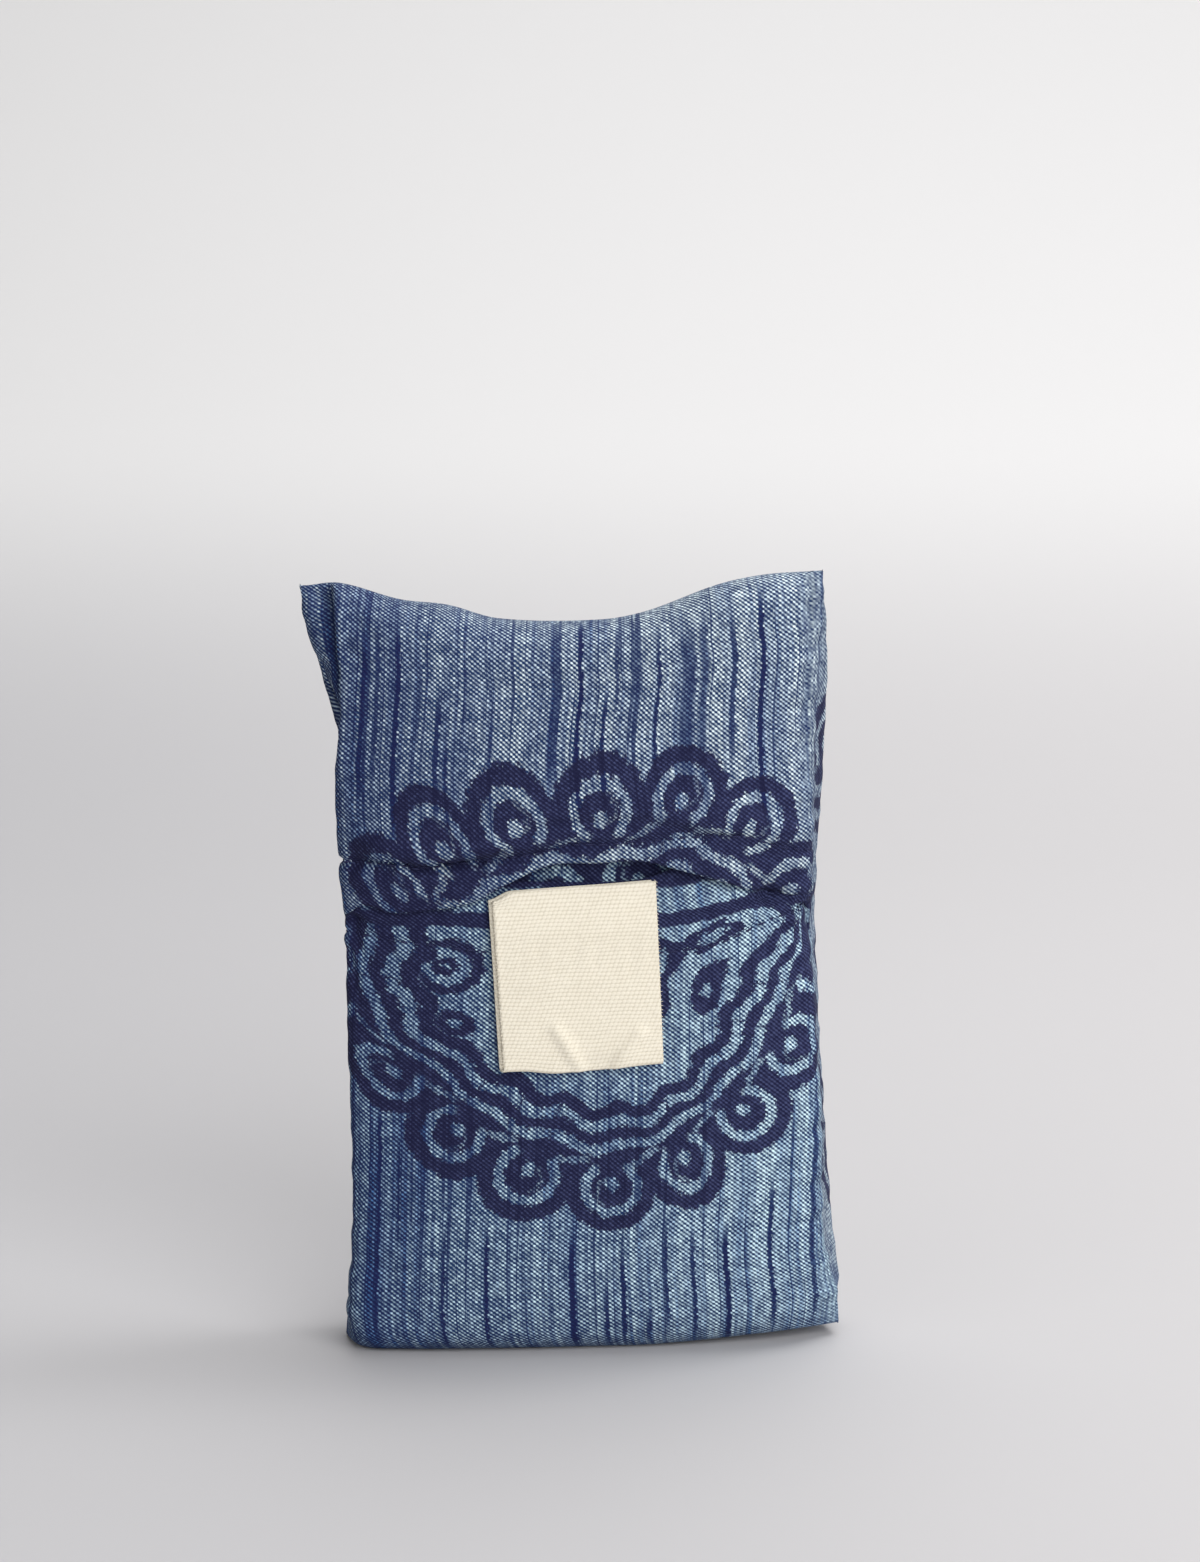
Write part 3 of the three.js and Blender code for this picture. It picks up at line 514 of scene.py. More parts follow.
class Yarn:
    """A value in a material, which can be added, scaled and compared like a number."""

    def __init__(self, tree, socket=None):
        self.tree = tree
        self.socket = socket

    def node(self, kind, settings=None, inputs=None, output=0):
        made = self.tree.nodes.new(kind)
        for name, value in (settings or {}).items():
            setattr(made, name, value)
        for name, value in (inputs or {}).items():
            if isinstance(value, Yarn):
                self.tree.links.new(value.socket, made.inputs[name])
            else:
                made.inputs[name].default_value = value
        return Yarn(self.tree, made.outputs[output])

    def math(self, operation, *others):
        return self.node("ShaderNodeMath", {"operation": operation}, dict(enumerate((self, *others))))

    def __add__(self, other):
        return self.math("ADD", other)

    def __sub__(self, other):
        return self.math("SUBTRACT", other)

    def __mul__(self, other):
        return self.math("MULTIPLY", other)

    def __truediv__(self, other):
        return self.math("DIVIDE", other)

    def __rsub__(self, other):
        return self.node("ShaderNodeMath", {"operation": "SUBTRACT"}, {0: other, 1: self})

    def __abs__(self):
        return self.math("ABSOLUTE")

    __radd__ = __add__
    __rmul__ = __mul__

    def most(self, other):
        return self.math("MAXIMUM", other)

    def least(self, other):
        return self.math("MINIMUM", other)

    def step(self, low, high):
        """From 0 at low to 1 at high, smoothly."""
        return self.node(
            "ShaderNodeMapRange",
            {"interpolation_type": "SMOOTHSTEP"},
            {"Value": self, "From Min": low, "From Max": high},
        )

    def past(self, edge, soft):
        return self.step(edge - soft, edge + soft)

    def short_of(self, edge, soft):
        return self.step(edge + soft, edge - soft)

    def within(self, low, high, soft):
        return self.past(low, soft) * self.short_of(high, soft)

    def apart(self, other):
        """The distance of a place that lies this far off one way and that far off the other."""
        return (self * self + other * other).math("SQRT")

    def pair(self, other):
        return self.node("ShaderNodeCombineXYZ", None, {0: self, 1: other})

    def cloud(self, other, scale, detail=2.0):
        """Uneven noise between 0 and 1 over this value and another one."""
        return self.node(
            "ShaderNodeTexNoise",
            {"noise_dimensions": "2D"},
            {"Vector": self.pair(other), "Scale": scale, "Detail": detail},
        )

    def stray(self, other, scale, reach, detail=2.0):
        """The same noise about 0, over a whole reach."""
        return (self.cloud(other, scale, detail) - 0.5) * reach

    def chance(self, other):
        """A chance value between 0 and 1 for each whole pair of this value and another one."""
        return self.node(
            "ShaderNodeTexWhiteNoise", {"noise_dimensions": "2D"}, {"Vector": self.pair(other)}
        )

    def tint(self, first, second):
        """The first colour where this value is 0 and the second where it is 1."""
        return self.node("ShaderNodeMix", {"data_type": "RGBA"}, {0: self, 6: first, 7: second}, 2)


def finish(name):
    """A new material with nothing in it."""
    material = bpy.data.materials.new(name)
    material.use_nodes = True
    material.node_tree.nodes.clear()
    return material


def places(material, map_name):
    """The two coordinates of one of the piece's own maps, in millimetres of cloth."""
    tree = material.node_tree
    place = Yarn(tree).node("ShaderNodeUVMap", {"uv_map": map_name})
    split = place.node("ShaderNodeSeparateXYZ", None, {0: place})
    return split, Yarn(tree, split.socket.node.outputs[1])


def matt_surface(material, colour, roughness, relief, deep):
    """The cloth's shader. relief is a height map whose full height is deep, in metres."""
    tree = material.node_tree
    bump = relief.node("ShaderNodeBump", None, {"Strength": 1.0, "Distance": deep, "Height": relief})
    surface = relief.node(
        "ShaderNodeBsdfPrincipled",
        None,
        {"Base Color": colour, "Roughness": roughness, "Normal": bump, "Specular IOR Level": 0.25},
    )
    output = tree.nodes.new("ShaderNodeOutputMaterial")
    tree.links.new(surface.socket, output.inputs["Surface"])


WARP, WEFT, RIB_PITCH = 0.73, 0.575, 1.8  # from thread to thread both ways, and from rib to rib
PALE_THREAD, FRESH_THREAD, BLUE_THREAD = dye(232, 248, 251), dye(218, 246, 255), dye(76, 122, 176)
DEEP_THREAD, INDIGO_THREAD = dye(14, 43, 86), dye(13, 19, 66)
PRINT_NAVY, PRINT_SPECK = dye(15, 17, 52), dye(88, 98, 142)
DYE_DEPTH, LIGHTNESS = 0.25, 0.27
WEAVE_SHOW, CHANCE_SHOW, RIB_SHOW, CLOUD_SHOW = 0.54, 0.36, 0.1, 0.4  # how strongly each one shows
PETALS, PETAL_RADIUS = 16, 56.5
PETAL_TURN, REPEAT_TURN = math.radians(94), math.radians(3.8)
BACK_SHIFT, BACK_REPEAT, BACK_EDGE = 55, 134, -69  # the back's flowers, across the cloth
SCALLOP, RIM, FIELD = 12.5, 60, 33.5  # a scallop's radius, and those of the flower's rim and inner field
RING, COMMA, EYE = (5.6, 8.3), (3.5, 4.3), 2.1  # radii of the forms in a scallop
OUTER_GAP, INNER_GAP, SHOULDER = (44.0, 46.8), (37.4, 40.6), (48.9, 50.6)  # of the light wavy bands
CURL = (-28.7, 4.1, 6.6, 7.2)  # x, z from the flower's middle, half width, half height
LEAF = (27, -2, 4.0, 6.8)
BEAD = (-29, -11, 3.8, 3.8)
LOZENGE = (21.2, 10, 5.6, 4.0)
LOZENGE_HEART = (21.2, 10, 1.9, 1.7)
BUD, BUD_HEART = (13.0, 16.2), (3.0, 6.4)  # radii at the flower's very middle


def scallop_row(radius, turn, count):
    """The scallops' outline, the ink that their light forms leave, and each one's lean and chance value."""
    petal = turn.math("ROUND")
    lean = (turn - petal) * (2 * math.pi / PETALS)
    kind = petal.chance(count)
    side, rise = radius * lean.math("SINE"), radius * lean.math("COSINE")
    from_eye = side.apart(rise - PETAL_RADIUS) / (kind * 0.12 + 0.95)
    inward = (PETAL_RADIUS - rise) / (from_eye + 0.01)
    outline = from_eye.short_of(SCALLOP, 0.3).most(radius.short_of(RIM, 0.5))
    ring = from_eye.within(*RING, 0.25) * inward.step(0.9, 0.76)
    seed_rise = rise - PETAL_RADIUS + 1.2
    seed = (side * side * 1.3 + seed_rise * seed_rise).math("SQRT")
    eye = seed.within(kind.step(0.55, 0.6) * 0.8 - 0.6, EYE, 0.3)
    comma = side.apart(rise - PETAL_RADIUS - 1).within(*COMMA, 0.3)
    comma = comma * (side * (kind.step(0.5, 0.52) * 2 - 1)).step(1.2, 2.4) * 0.45
    return outline, (1 - ring) * (1 - eye) * (1 - comma), lean, kind


def flower(u, v, middle_u, repeat):
    """How much of the navy block print lies at a place, from 0 to 1."""
    count = ((v - PRINT_HEIGHT) / repeat).math("ROUND")
    odd = abs(count).math("MODULO", 2.0)
    up = v - PRINT_HEIGHT - count * repeat + (v.stray(u, 0.45, 2.4) + v.stray(u, 1.6, 1.2, 0.0))
    beside = u - middle_u - odd * BACK_SHIFT
    beside = beside + odd * beside.short_of(BACK_EDGE, 1) * BACK_REPEAT
    beside = beside + (u.stray(v, 0.45, 2.4) + u.stray(v, 1.6, 1.5, 0.0))
    radius = beside.apart(up) + u.stray(v, 0.035, 4, 0.0)
    angle = up.math("ARCTAN2", beside)
    turn = (angle - PETAL_TURN - count * REPEAT_TURN) * (PETALS / (2 * math.pi))
    outline, scallop_ink, lean, kind = scallop_row(radius, turn, count)

    wave = (turn * (2 * math.pi) + kind * 0.5).math("SINE")
    spoke = (turn * 1.5 + 0.3 + kind * 0.1).math("FRACT").within(0.0, 0.045, 0.012) * kind.step(0.3, 0.35)
    outer_gap = (radius + wave * 1.0).within(*OUTER_GAP, 0.25) * (1 - spoke * 0.8)
    inner_gap = (radius + wave * 1.3).within(*INNER_GAP, 0.25) * (1 - spoke)
    shoulder = (radius - wave * 0.8).within(*SHOULDER, 0.2) * abs(lean).step(0.10, 0.13) * 0.7
    bands = (1 - outer_gap) * (1 - inner_gap) * (1 - shoulder)
    field = (radius + wave * 1.5).past(FIELD, 0.3)

    def oval(at, rise, wide, tall):
        aside, over = beside - at, up - rise
        return (aside * aside * (1 / wide**2) + over * over * (1 / tall**2)).math("SQRT")

    curl = oval(*CURL)
    curl_mouth = (beside - CURL[0]).step(-3.2, -4.2) * abs(up - CURL[1]).step(1.6, 1.0)
    curl = curl.within(0.66, 1.0, 0.04).most(curl.within(0.12, 0.36, 0.04)) * (1 - curl_mouth)
    at, rise, wide, tall = LOZENGE
    lozenge = (abs(beside - at) * (1 / wide) + abs(up - rise) * (1 / tall)).short_of(1, 0.05)
    lozenge = lozenge * oval(*LOZENGE_HEART).past(1, 0.1)
    heart = abs((angle * 4.0).math("SINE"))
    bud = (radius - heart * 3.2).within(*BUD, 0.3).most(radius.within(*BUD_HEART, 0.3))
    inside = curl
    for motif in (oval(*LEAF).within(0.32, 1.0, 0.05), lozenge, bud, oval(*BEAD).within(0.35, 1.0, 0.06)):
        inside = inside.most(motif)
    return (field * bands).most(inside * (1 - field)) * scallop_ink * outline


def printed_cotton(name, streaks, middle_u, repeat, borders=None):
    """The cloth's material. streaks are placed navy threads: u, lowest v, highest v, width, strength."""
    material = finish(name)
    u, v = places(material, "cloth")
    stir = u.stray(v, 0.06, 0.9, 0.0)
    warp, weft = (u + stir) / WARP, (v + stir * 0.6) / WEFT
    thread, pick = warp.math("FLOOR"), weft.math("FLOOR")
    chance = thread.chance(pick) - 0.5
    across, along = (warp + weft) * math.pi, (warp - weft) * math.pi
    seen_aslant = 1 - u.step(61, 67) * 0.6
    weave = (along.math("COSINE") * 0.3 - across.math("COSINE") * 0.7) * seen_aslant

    # How much dye each thread has taken up, from pale through blue to the lone navy streaks, and painted
    # shade.
    straight = u + v.stray(u * 0.02, 0.016, 2.0, 0.0)
    stripes = straight.stray(v * 0.014, 0.75, 2.4, 3.0) + u.stray(v * 0.1, 0.12, 1.6)
    thread_tone = thread.chance((v * 0.013 + thread * 0.37).math("FLOOR")) - 0.5
    # Painted shade, darker where the cloth turns under the base; darker towards the left side, partly
    # deeper dye and partly painted shade.
    dye_and_painted_shade = u.step(-25, -62) * 0.35 + v.within(-20, 4, 7) * 0.4
    depth = (stripes * 0.6 + thread_tone * 0.35 + dye_and_painted_shade + DYE_DEPTH).most(0.0)
    lone = straight.cloud(v * 0.012 + 7, 0.85, 0.0).step(0.72, 0.8) * 0.5
    for at, low, high, wide, strength in streaks:
        lane = abs(straight + chance * 0.6 - at).step(wide, wide * 0.45)
        ends = v.step(low - 5, low + 6) * v.step(high + 5, high - 6)
        lone = lone.most(lane * ends * strength)
    depth = (depth * (1 - lone) + lone * 1.1).least(1.0)
    low_front = v.step(-10, 10)
    pale = depth.tint(low_front.tint(PALE_THREAD, FRESH_THREAD), BLUE_THREAD)
    deep = depth.tint(DEEP_THREAD, INDIGO_THREAD)

    # How much of the upper threads shows against the shaded gaps between them, with painted light as well.
    ribs = (straight * (2 * math.pi / RIB_PITCH)).math("SINE") * u.cloud(v * 0.2, 0.1, 0.0)
    lit = weave * WEAVE_SHOW + chance * CHANCE_SHOW + ribs * RIB_SHOW
    lit = lit + u.stray(v, 0.3, CLOUD_SHOW, 1.0) + LIGHTNESS
    # Painted light: lighter towards the right side, and a little lighter on the lower front, most towards
    # its right.
    lit = lit + u.step(-62, 62) * 0.2 + low_front * (u.step(10, 50) * 0.05 + 0.03)
    lit = (lit.most(0.0) * (1 - lone * 0.68)).least(1.0)
    ground = (lit * lit).tint(deep, pale)
    print_dye = (lit * lit * 0.45).tint(PRINT_NAVY, PRINT_SPECK)

    print_at, print_height = places(material, "print")
    mask = flower(print_at, print_height, middle_u, repeat)
    if borders:
        low, high, top, lip = borders
        rough_height = print_height + u.stray(v, 0.4, 1.6)
        mask = mask * print_height.short_of(top, 1)
        mask = mask.most(rough_height.within(low, high, 0.3))
        mask = mask.most(rough_height.past(lip, 0.4))
    matt_surface(material, mask.tint(ground, print_dye), 0.9, weave * 0.35 + chance * 0.2 + 0.5, 0.00015)
    return material


UPPER_STREAKS = [  # x, lowest z, highest z, width, strength, on the upper front
    (-61, 172, 186, 1.3, 0.5), (-55, 147, 186, 1.0, 0.8), (-51.5, 150, 188, 0.8, 0.6),
    (-46.5, 138, 188, 0.9, 0.9), (-41, 160, 182, 0.8, 0.45), (-36, 140, 172, 0.9, 0.8),
    (-33.5, 138, 160, 0.6, 0.7), (-22.5, 144, 166, 0.6, 0.6), (-7, 150, 190, 1.6, 0.6),
    (-1, 142, 192, 0.8, 1.0), (5.5, 142, 172, 0.7, 0.9), (8, 168, 188, 0.7, 0.6),
    (18.5, 152, 186, 0.7, 0.8), (26, 152, 188, 2.6, 0.55), (30, 144, 190, 1.6, 0.45),
    (37.5, 158, 190, 0.9, 0.7), (44.6, 140, 196, 0.9, 1.0), (56.8, 140, 198, 0.7, 0.9),
]
LOWER_STREAKS = [  # the same on the lower front
    (-57, 4, 60, 0.7, 0.7), (-53, 4, 66, 0.7, 0.8), (-48, 32, 56, 0.5, 0.7), (-36, 0, 32, 0.7, 0.8),
    (-25, 0, 34, 0.7, 0.9), (-3, 0, 32, 1.1, 1.0), (5.5, 0, 18, 0.8, 0.8), (10, 2, 28, 0.8, 0.9),
    (16, 2, 10, 0.9, 0.9), (21, 8, 36, 0.7, 0.8), (28, 4, 32, 0.7, 0.8), (36.5, 0, 34, 0.9, 1.0),
    (48, 6, 46, 0.8, 0.9), (59, 6, 66, 0.8, 0.7), (66, 8, 30, 1.0, 0.6),
]
LIP_BORDERS = (113.4, 117.2, 118, 123.2)  # a line's foot and head, the flower's end, the lip's dark edge
READ_COLUMN = 60  # of the grid, where a height is looked up
pouch_streaks = []
for rows, mask, near_z, shift in (
    (UPPER_STREAKS, upper_mask, 165, -strip_turn), (LOWER_STREAKS, lower_mask, 22, 0)
):
    row = min(np.flatnonzero(mask[:, READ_COLUMN]), key=lambda r: abs(z[r, READ_COLUMN] - near_z))
    for at, low, high, wide, strength in rows:
        cloth_at = float(np.interp(at, x[row], cloth_u[row]))
        pouch_streaks.append((cloth_at, low + shift, high + shift, wide, strength))
pouch.data.materials.append(
    printed_cotton("printed_cotton", pouch_streaks, print_u, strip_turn / 2, LIP_BORDERS)
)
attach(pouch, "root")
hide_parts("pouch")

# The hems' stitches
# Navy sewing thread, in one row along each hem of the mouth. Each stitch dips into the cloth at both ends.
STITCH_LIFT = 0.1  # how far the thread's middle lies over the cloth
STITCH_SIZES = {"Pitch": 0.0034, "Length": 0.0021, "Thickness": 0.0006, "Along": 1.0, "Unevenness": 0.12}


def thread_tree(name):
    """A node tree that lays short threads along a line of edges, at an even pitch and a little uneven."""
    tree = bpy.data.node_groups.new(name, "GeometryNodeTree")
    sockets = {"Line": "Geometry", "Pitch": "Float", "Length": "Float", "Thickness": "Float",
               "Along": "Float", "Aside": "Vector", "Unevenness": "Float", "Thread": "Material"}
    for title, kind in sockets.items():
        tree.interface.new_socket(title, in_out="INPUT", socket_type="NodeSocket" + kind)
    tree.interface.new_socket("Threads", in_out="OUTPUT", socket_type="NodeSocketGeometry")
    inputs = tree.nodes.new("NodeGroupInput")
    given = {title: Yarn(tree, inputs.outputs[title]) for title in sockets}
    line = given["Line"].node("GeometryNodeMeshToCurve", None, {"Mesh": given["Line"]})
    points = line.node(
        "GeometryNodeCurveToPoints", {"mode": "LENGTH"}, {"Curve": line, "Length": given["Pitch"]}
    )
    tangent = Yarn(tree, points.socket.node.outputs["Tangent"])
    astray = line.node(
        "FunctionNodeRandomValue", {"data_type": "FLOAT_VECTOR"}, {0: (-1, -1, -1), 1: (1, 1, 1), "Seed": 7}
    )

    def scaled(vector, amount):
        return line.node("ShaderNodeVectorMath", {"operation": "SCALE"}, {0: vector, "Scale": amount})

    def added(first, second):
        return line.node("ShaderNodeVectorMath", {"operation": "ADD"}, {0: first, 1: second})

    heading = added(scaled(tangent, given["Along"]), given["Aside"])
    heading = added(heading, scaled(astray, given["Unevenness"]))
    turned = line.node("FunctionNodeAlignRotationToVector", {"axis": "Z"}, {"Vector": heading})
    ball = line.node("GeometryNodeMeshUVSphere", None, {"Segments": 8, "Rings": 6, "Radius": 0.5})
    spread = line.node("FunctionNodeRandomValue", {"data_type": "FLOAT"}, {2: 0.75, 3: 1.15, "Seed": 3})
    spread = Yarn(tree, spread.socket.node.outputs[1])
    size = line.node(
        "ShaderNodeCombineXYZ", None,
        {0: given["Thickness"], 1: given["Thickness"], 2: given["Length"] * spread},
    )
    threads = line.node(
        "GeometryNodeInstanceOnPoints", None,
        {"Points": points, "Instance": ball, "Rotation": turned, "Scale": size},
    )
    real = line.node("GeometryNodeRealizeInstances", None, {"Geometry": threads})
    done = line.node("GeometryNodeSetMaterial", None, {"Geometry": real, "Material": given["Thread"]})
    tree.links.new(done.socket, tree.nodes.new("NodeGroupOutput").inputs["Threads"])
    return tree


THREADS = thread_tree("threads")


def threads_along(name, lines, thread, sizes):
    """Threads along lines of points in millimetres, as one plain mesh. sizes sets the tree's inputs."""
    spots = np.concatenate(lines)
    starts = np.cumsum([0] + [len(line) for line in lines])
    edges = [(k, k + 1) for first, end in zip(starts, starts[1:]) for k in range(first, end - 1)]
    mesh = bpy.data.meshes.new(name)
    mesh.from_pydata(((spots + np.array([*CENTRE, 0])) * 0.001).tolist(), edges, [])
    piece = bpy.data.objects.new(name, mesh)
    bpy.context.scene.collection.objects.link(piece)
    modifier = piece.modifiers.new("threads", "NODES")
    modifier.node_group = THREADS
    values = {**sizes, "Thread": thread}
    for item in THREADS.interface.items_tree:
        if item.in_out == "INPUT" and item.name in values:
            modifier[item.identifier] = values[item.name]
    laid = bpy.data.meshes.new_from_object(piece.evaluated_get(bpy.context.evaluated_depsgraph_get()))
    piece.modifiers.remove(modifier)
    piece.data = laid
    laid.name = name
    laid.materials.clear()
    laid.materials.append(thread)
    laid.polygons.foreach_set("material_index", [0] * len(laid.polygons))
    laid.shade_smooth()
    return piece


def sewn_line(line, rows):
    """Points just over the cloth along a row of stitches, which is given as a table of x and z."""
    place = np.stack([x, y, z], -1)[rows] + normal[rows] * STITCH_LIFT
    spots = []
    for column in range(ROLL + 1, place.shape[1] - ROLL - 1):
        above = place[:, column, 2] - along_table(line, 1, place[:, column, 0])
        if above.min() < 0 < above.max():
            order = np.argsort(above)
            spots.append([np.interp(0, above[order], place[order, column, k]) for k in range(3)])
    return np.array(spots)


def plied_thread(name, light, dark):
    """A sewing thread's material: a slanting twist of two plies."""
    material = finish(name)
    place = Yarn(material.node_tree).node("ShaderNodeTexCoord", None, None, "Object")
    along = place.node("ShaderNodeSeparateXYZ", None, {0: place})
    rise = Yarn(material.node_tree, along.socket.node.outputs[2])
    twist = ((along + rise) * (2 * math.pi / 0.00045)).math("SINE") * 0.5 + 0.5
    matt_surface(material, twist.tint(dark, light), 0.7, twist, 0.00004)
    return material


navy_thread = plied_thread("navy_thread", dye(52, 56, 96), dye(16, 17, 44))
stitch_lines = [sewn_line(HEM_STITCHES, stretch == "upper"), sewn_line(LIP_STITCHES, stretch == "lower")]
stitches = threads_along("hem_stitches", stitch_lines, navy_thread, STITCH_SIZES)
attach(stitches, "root")

# The bag
# The shopping bag itself, of the same cotton, folded flat back and forth and pushed down into the pouch.
# Only its front shows, dull, through the gaping mouth.
BAG_CLOTH = 0.9
BAG_PITCH = 3.2  # from one layer to the next at the middle
BAG_SQUEEZE = 0.28  # how much closer the layers lie at their side edges
BAG_FLOOR = 1.8  # underside of the bag's folds, just above the pouch's base
BAG_SWAY = 0.3  # how unevenly its layers lie
BAG_PRINT_X, BAG_PRINT_SHIFT, BAG_REPEAT = 18, 38, 222
BAG_FOLDS = [(151, 6, 47), (165, 0, 50), (166, 0, 49), (153, 6, 47)]  # top, foot, half width
FRONT_ROWS, LAYER_ROWS, FOLD_TURNS, BAG_COLUMNS = 90, 24, 8, 81
CRUMPLE_WIDE, CRUMPLE_HOLLOW, HOLLOW_WIDE = 11, 1.3, 30  # of its front at the mouth


def folded_bag():
    layers = 2 * len(BAG_FOLDS)
    path, side_reach = [], []
    for i in range(layers):
        top, foot, half_width = BAG_FOLDS[i // 2]
        rises = i % 2 == 0
        low_pair = (max(i - 1, 0), i) if rises else (i, min(i + 1, layers - 1))
        turn = BAG_PITCH / 2 if 0 < i < layers - 1 else 0
        foot = BAG_FLOOR + turn + BAG_CLOTH / 2 + max(BAG_FOLDS[k // 2][1] for k in low_pair)
        y_layer = (i - (layers - 1) / 2) * BAG_PITCH
        shares = np.linspace(0, 1, FRONT_ROWS if i == 0 else LAYER_ROWS)
        for share in shares if rises else shares[::-1]:
            path.append((y_layer, foot + (top - foot) * share))
            side_reach.append(half_width)
        if i + 1 < layers:
            for a in np.linspace(0, math.pi, FOLD_TURNS)[1:-1]:
                up = (top if rises else foot) + (1 if rises else -1) * BAG_PITCH / 2 * math.sin(a)
                path.append((y_layer + BAG_PITCH / 2 * (1 - math.cos(a)), up))
                side_reach.append(half_width)
    path, side_reach = np.array(path), np.array(side_reach)[:, None]
    side = np.linspace(-1, 1, BAG_COLUMNS)[None, :]
    along = np.concatenate([[0], np.cumsum(np.hypot(*np.diff(path, axis=0).T))])[:, None]
    bag_x = side * (side_reach + BAG_SWAY * np.sin(np.arange(len(path)) * 0.25)[:, None])
    bag_z = path[:, 1:] + base_lift(bag_x, path[:, 1:])
    sway = BAG_SWAY * np.sin(side * 4) + along_table(SECTIONS, 1, path[:, 1:]) * bag_x
    bag_y = path[:, :1] * (1 - BAG_SQUEEZE * side**2) + sway
    crumple = 0.7 * ripple(bag_x / 13 + bag_z / 30, 0.4) + 0.5 * ripple(bag_z / 7 - bag_x / 16, 1.9)
    crumple = crumple - CRUMPLE_HOLLOW * swelling(bag_x, 0, HOLLOW_WIDE)
    crumple = crumple * swelling(bag_z, MOUTH_HEIGHT + 3, CRUMPLE_WIDE)
    bag_y = bag_y + np.where(path[:, :1] < -(layers / 2 - 1) * BAG_PITCH, crumple, 0)
    return bag_x, bag_y, bag_z, bag_x + 0 * along, along + 0 * bag_x


bag_x, bag_y, bag_z, bag_u, bag_v = folded_bag()
bag_normal = turned_out(bag_x, bag_y, bag_z, 1)
bag_face = np.stack([bag_x, bag_y, bag_z], -1) + bag_normal * BAG_CLOTH / 2
bag_maps = {"cloth": (bag_u, bag_v), "print": (bag_u, bag_v + BAG_PRINT_SHIFT)}
bag_thick = np.full(bag_x.shape, BAG_CLOTH)
bag = cloth_mesh("folded_bag_cloth", *np.moveaxis(bag_face, -1, 0), bag_maps, bag_thick, bag_normal, 1)
bag.data.materials.append(printed_cotton("bag_cotton", [], BAG_PRINT_X, BAG_REPEAT))
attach(bag, "root")
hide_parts("folded_bag")

# The label
# A blank cream cotton tape with a ribbed weave, folded double at its foot. Its top is sewn to the inside
# of the lower hem, and it hangs over the front, with short loose fibres along its two cut sides.
LABEL_CORNERS = np.array([(-22.6, 122.4), (18.4, 125.6), (-19.8, 77.2), (20.4, 79.4)])
LABEL_WIDTH = 41.2
LABEL_CLOTH = 0.7
LABEL_GAP = 0.5  # between its two layers
LABEL_STANDOFF = 1.1  # of its rear face from the cloth at its top
LABEL_LIFT = 0.8  # how much further its foot hangs off the cloth
LABEL_BACK_SHIFT = -1.1  # the rear layer peeps out at the left
LABEL_HANG = 122  # height above which it no longer leans in with the cloth behind it
LABEL_NOTCH = 1.9  # how far its top left corner is cut down
LABEL_FOLDS = [  # x0, z0, x1, z1, width, depth
    (-6.5, 88, -0.5, 78.5, 1.6, -1.0), (14.5, 87, 8.5, 79, 1.6, -0.9), (0, 78, 7, 78.5, 3.2, 1.0)
]
LABEL_ROWS, LABEL_COLUMNS, LABEL_TURNS = 64, 56, 9
KNOT_ROW, KNOT_PITCH = 1.0, 1.15  # of the ribbed weave
FRAY_SIZES = {"Pitch": 0.0009, "Length": 0.0011, "Thickness": 0.00013, "Along": 0.3, "Unevenness": 0.9}
SMOOTH_ROWS = 4  # of the cloth behind, so that its row of stitches doesn't show through

lower_rows = np.flatnonzero(stretch == "lower")
near_x, near_z = x[lower_rows], z[lower_rows]
near_y = np.pad(y[lower_rows], ((SMOOTH_ROWS, SMOOTH_ROWS), (0, 0)), mode="edge")
near_y = sum(near_y[k : k + len(near_x)] for k in range(2 * SMOOTH_ROWS + 1)) / (2 * SMOOTH_ROWS + 1)


def face_depth(px, pz):
    """The depth of the lower front at a place, between the points of its grid."""
    depth = np.zeros(px.shape)
    column_x = near_x[len(near_x) // 3]
    order = np.clip(np.searchsorted(column_x, px) - 1, 0, len(column_x) - 2)
    for k in np.ndindex(px.shape):
        c = order[k]
        t = (px[k] - column_x[c]) / (column_x[c + 1] - column_x[c])
        a = np.interp(pz[k], near_z[::-1, c], near_y[::-1, c])
        b = np.interp(pz[k], near_z[::-1, c + 1], near_y[::-1, c + 1])
        depth[k] = a + (b - a) * t
    return depth


# Its path runs down the front layer, round the fold and up the rear one.
rear_middle = LABEL_CLOTH / 2
front_middle = rear_middle + LABEL_CLOTH + LABEL_GAP
fold_radius = (front_middle - rear_middle) / 2
down = np.linspace(0, 1, LABEL_ROWS + 1)
label_path = [(s, 0, front_middle) for s in down]
label_path += [
    (1, fold_radius * math.sin(a), (front_middle + rear_middle) / 2 + fold_radius * math.cos(a))
    for a in np.linspace(0, math.pi, LABEL_TURNS)[1:-1]
]
label_path = np.array(label_path + [(s, 0, rear_middle) for s in down[::-1]])
way, drop, off = (label_path[:, k : k + 1] for k in range(3))
aside = np.linspace(0, 1, LABEL_COLUMNS + 1)[None, :]
top_left, top_right, foot_left, foot_right = LABEL_CORNERS
top_edge = top_left + (top_right - top_left) * aside[..., None]
foot_edge = foot_left + (foot_right - foot_left) * aside[..., None]
label_place = top_edge + (foot_edge - top_edge) * way[..., None]
label_x, label_z = label_place[..., 0], label_place[..., 1]
notch = LABEL_NOTCH * smooth(0.14 - aside, 0, 0.14) * (1 - smooth(way, 0, 0.1))
wavy_foot = 0.5 * np.sin(aside * 7 + 1) * smooth(way, 0.8, 1)
wavy_foot = wavy_foot - 0.5 * swelling(aside, 0.3, 0.12) * smooth(way, 0.85, 1)
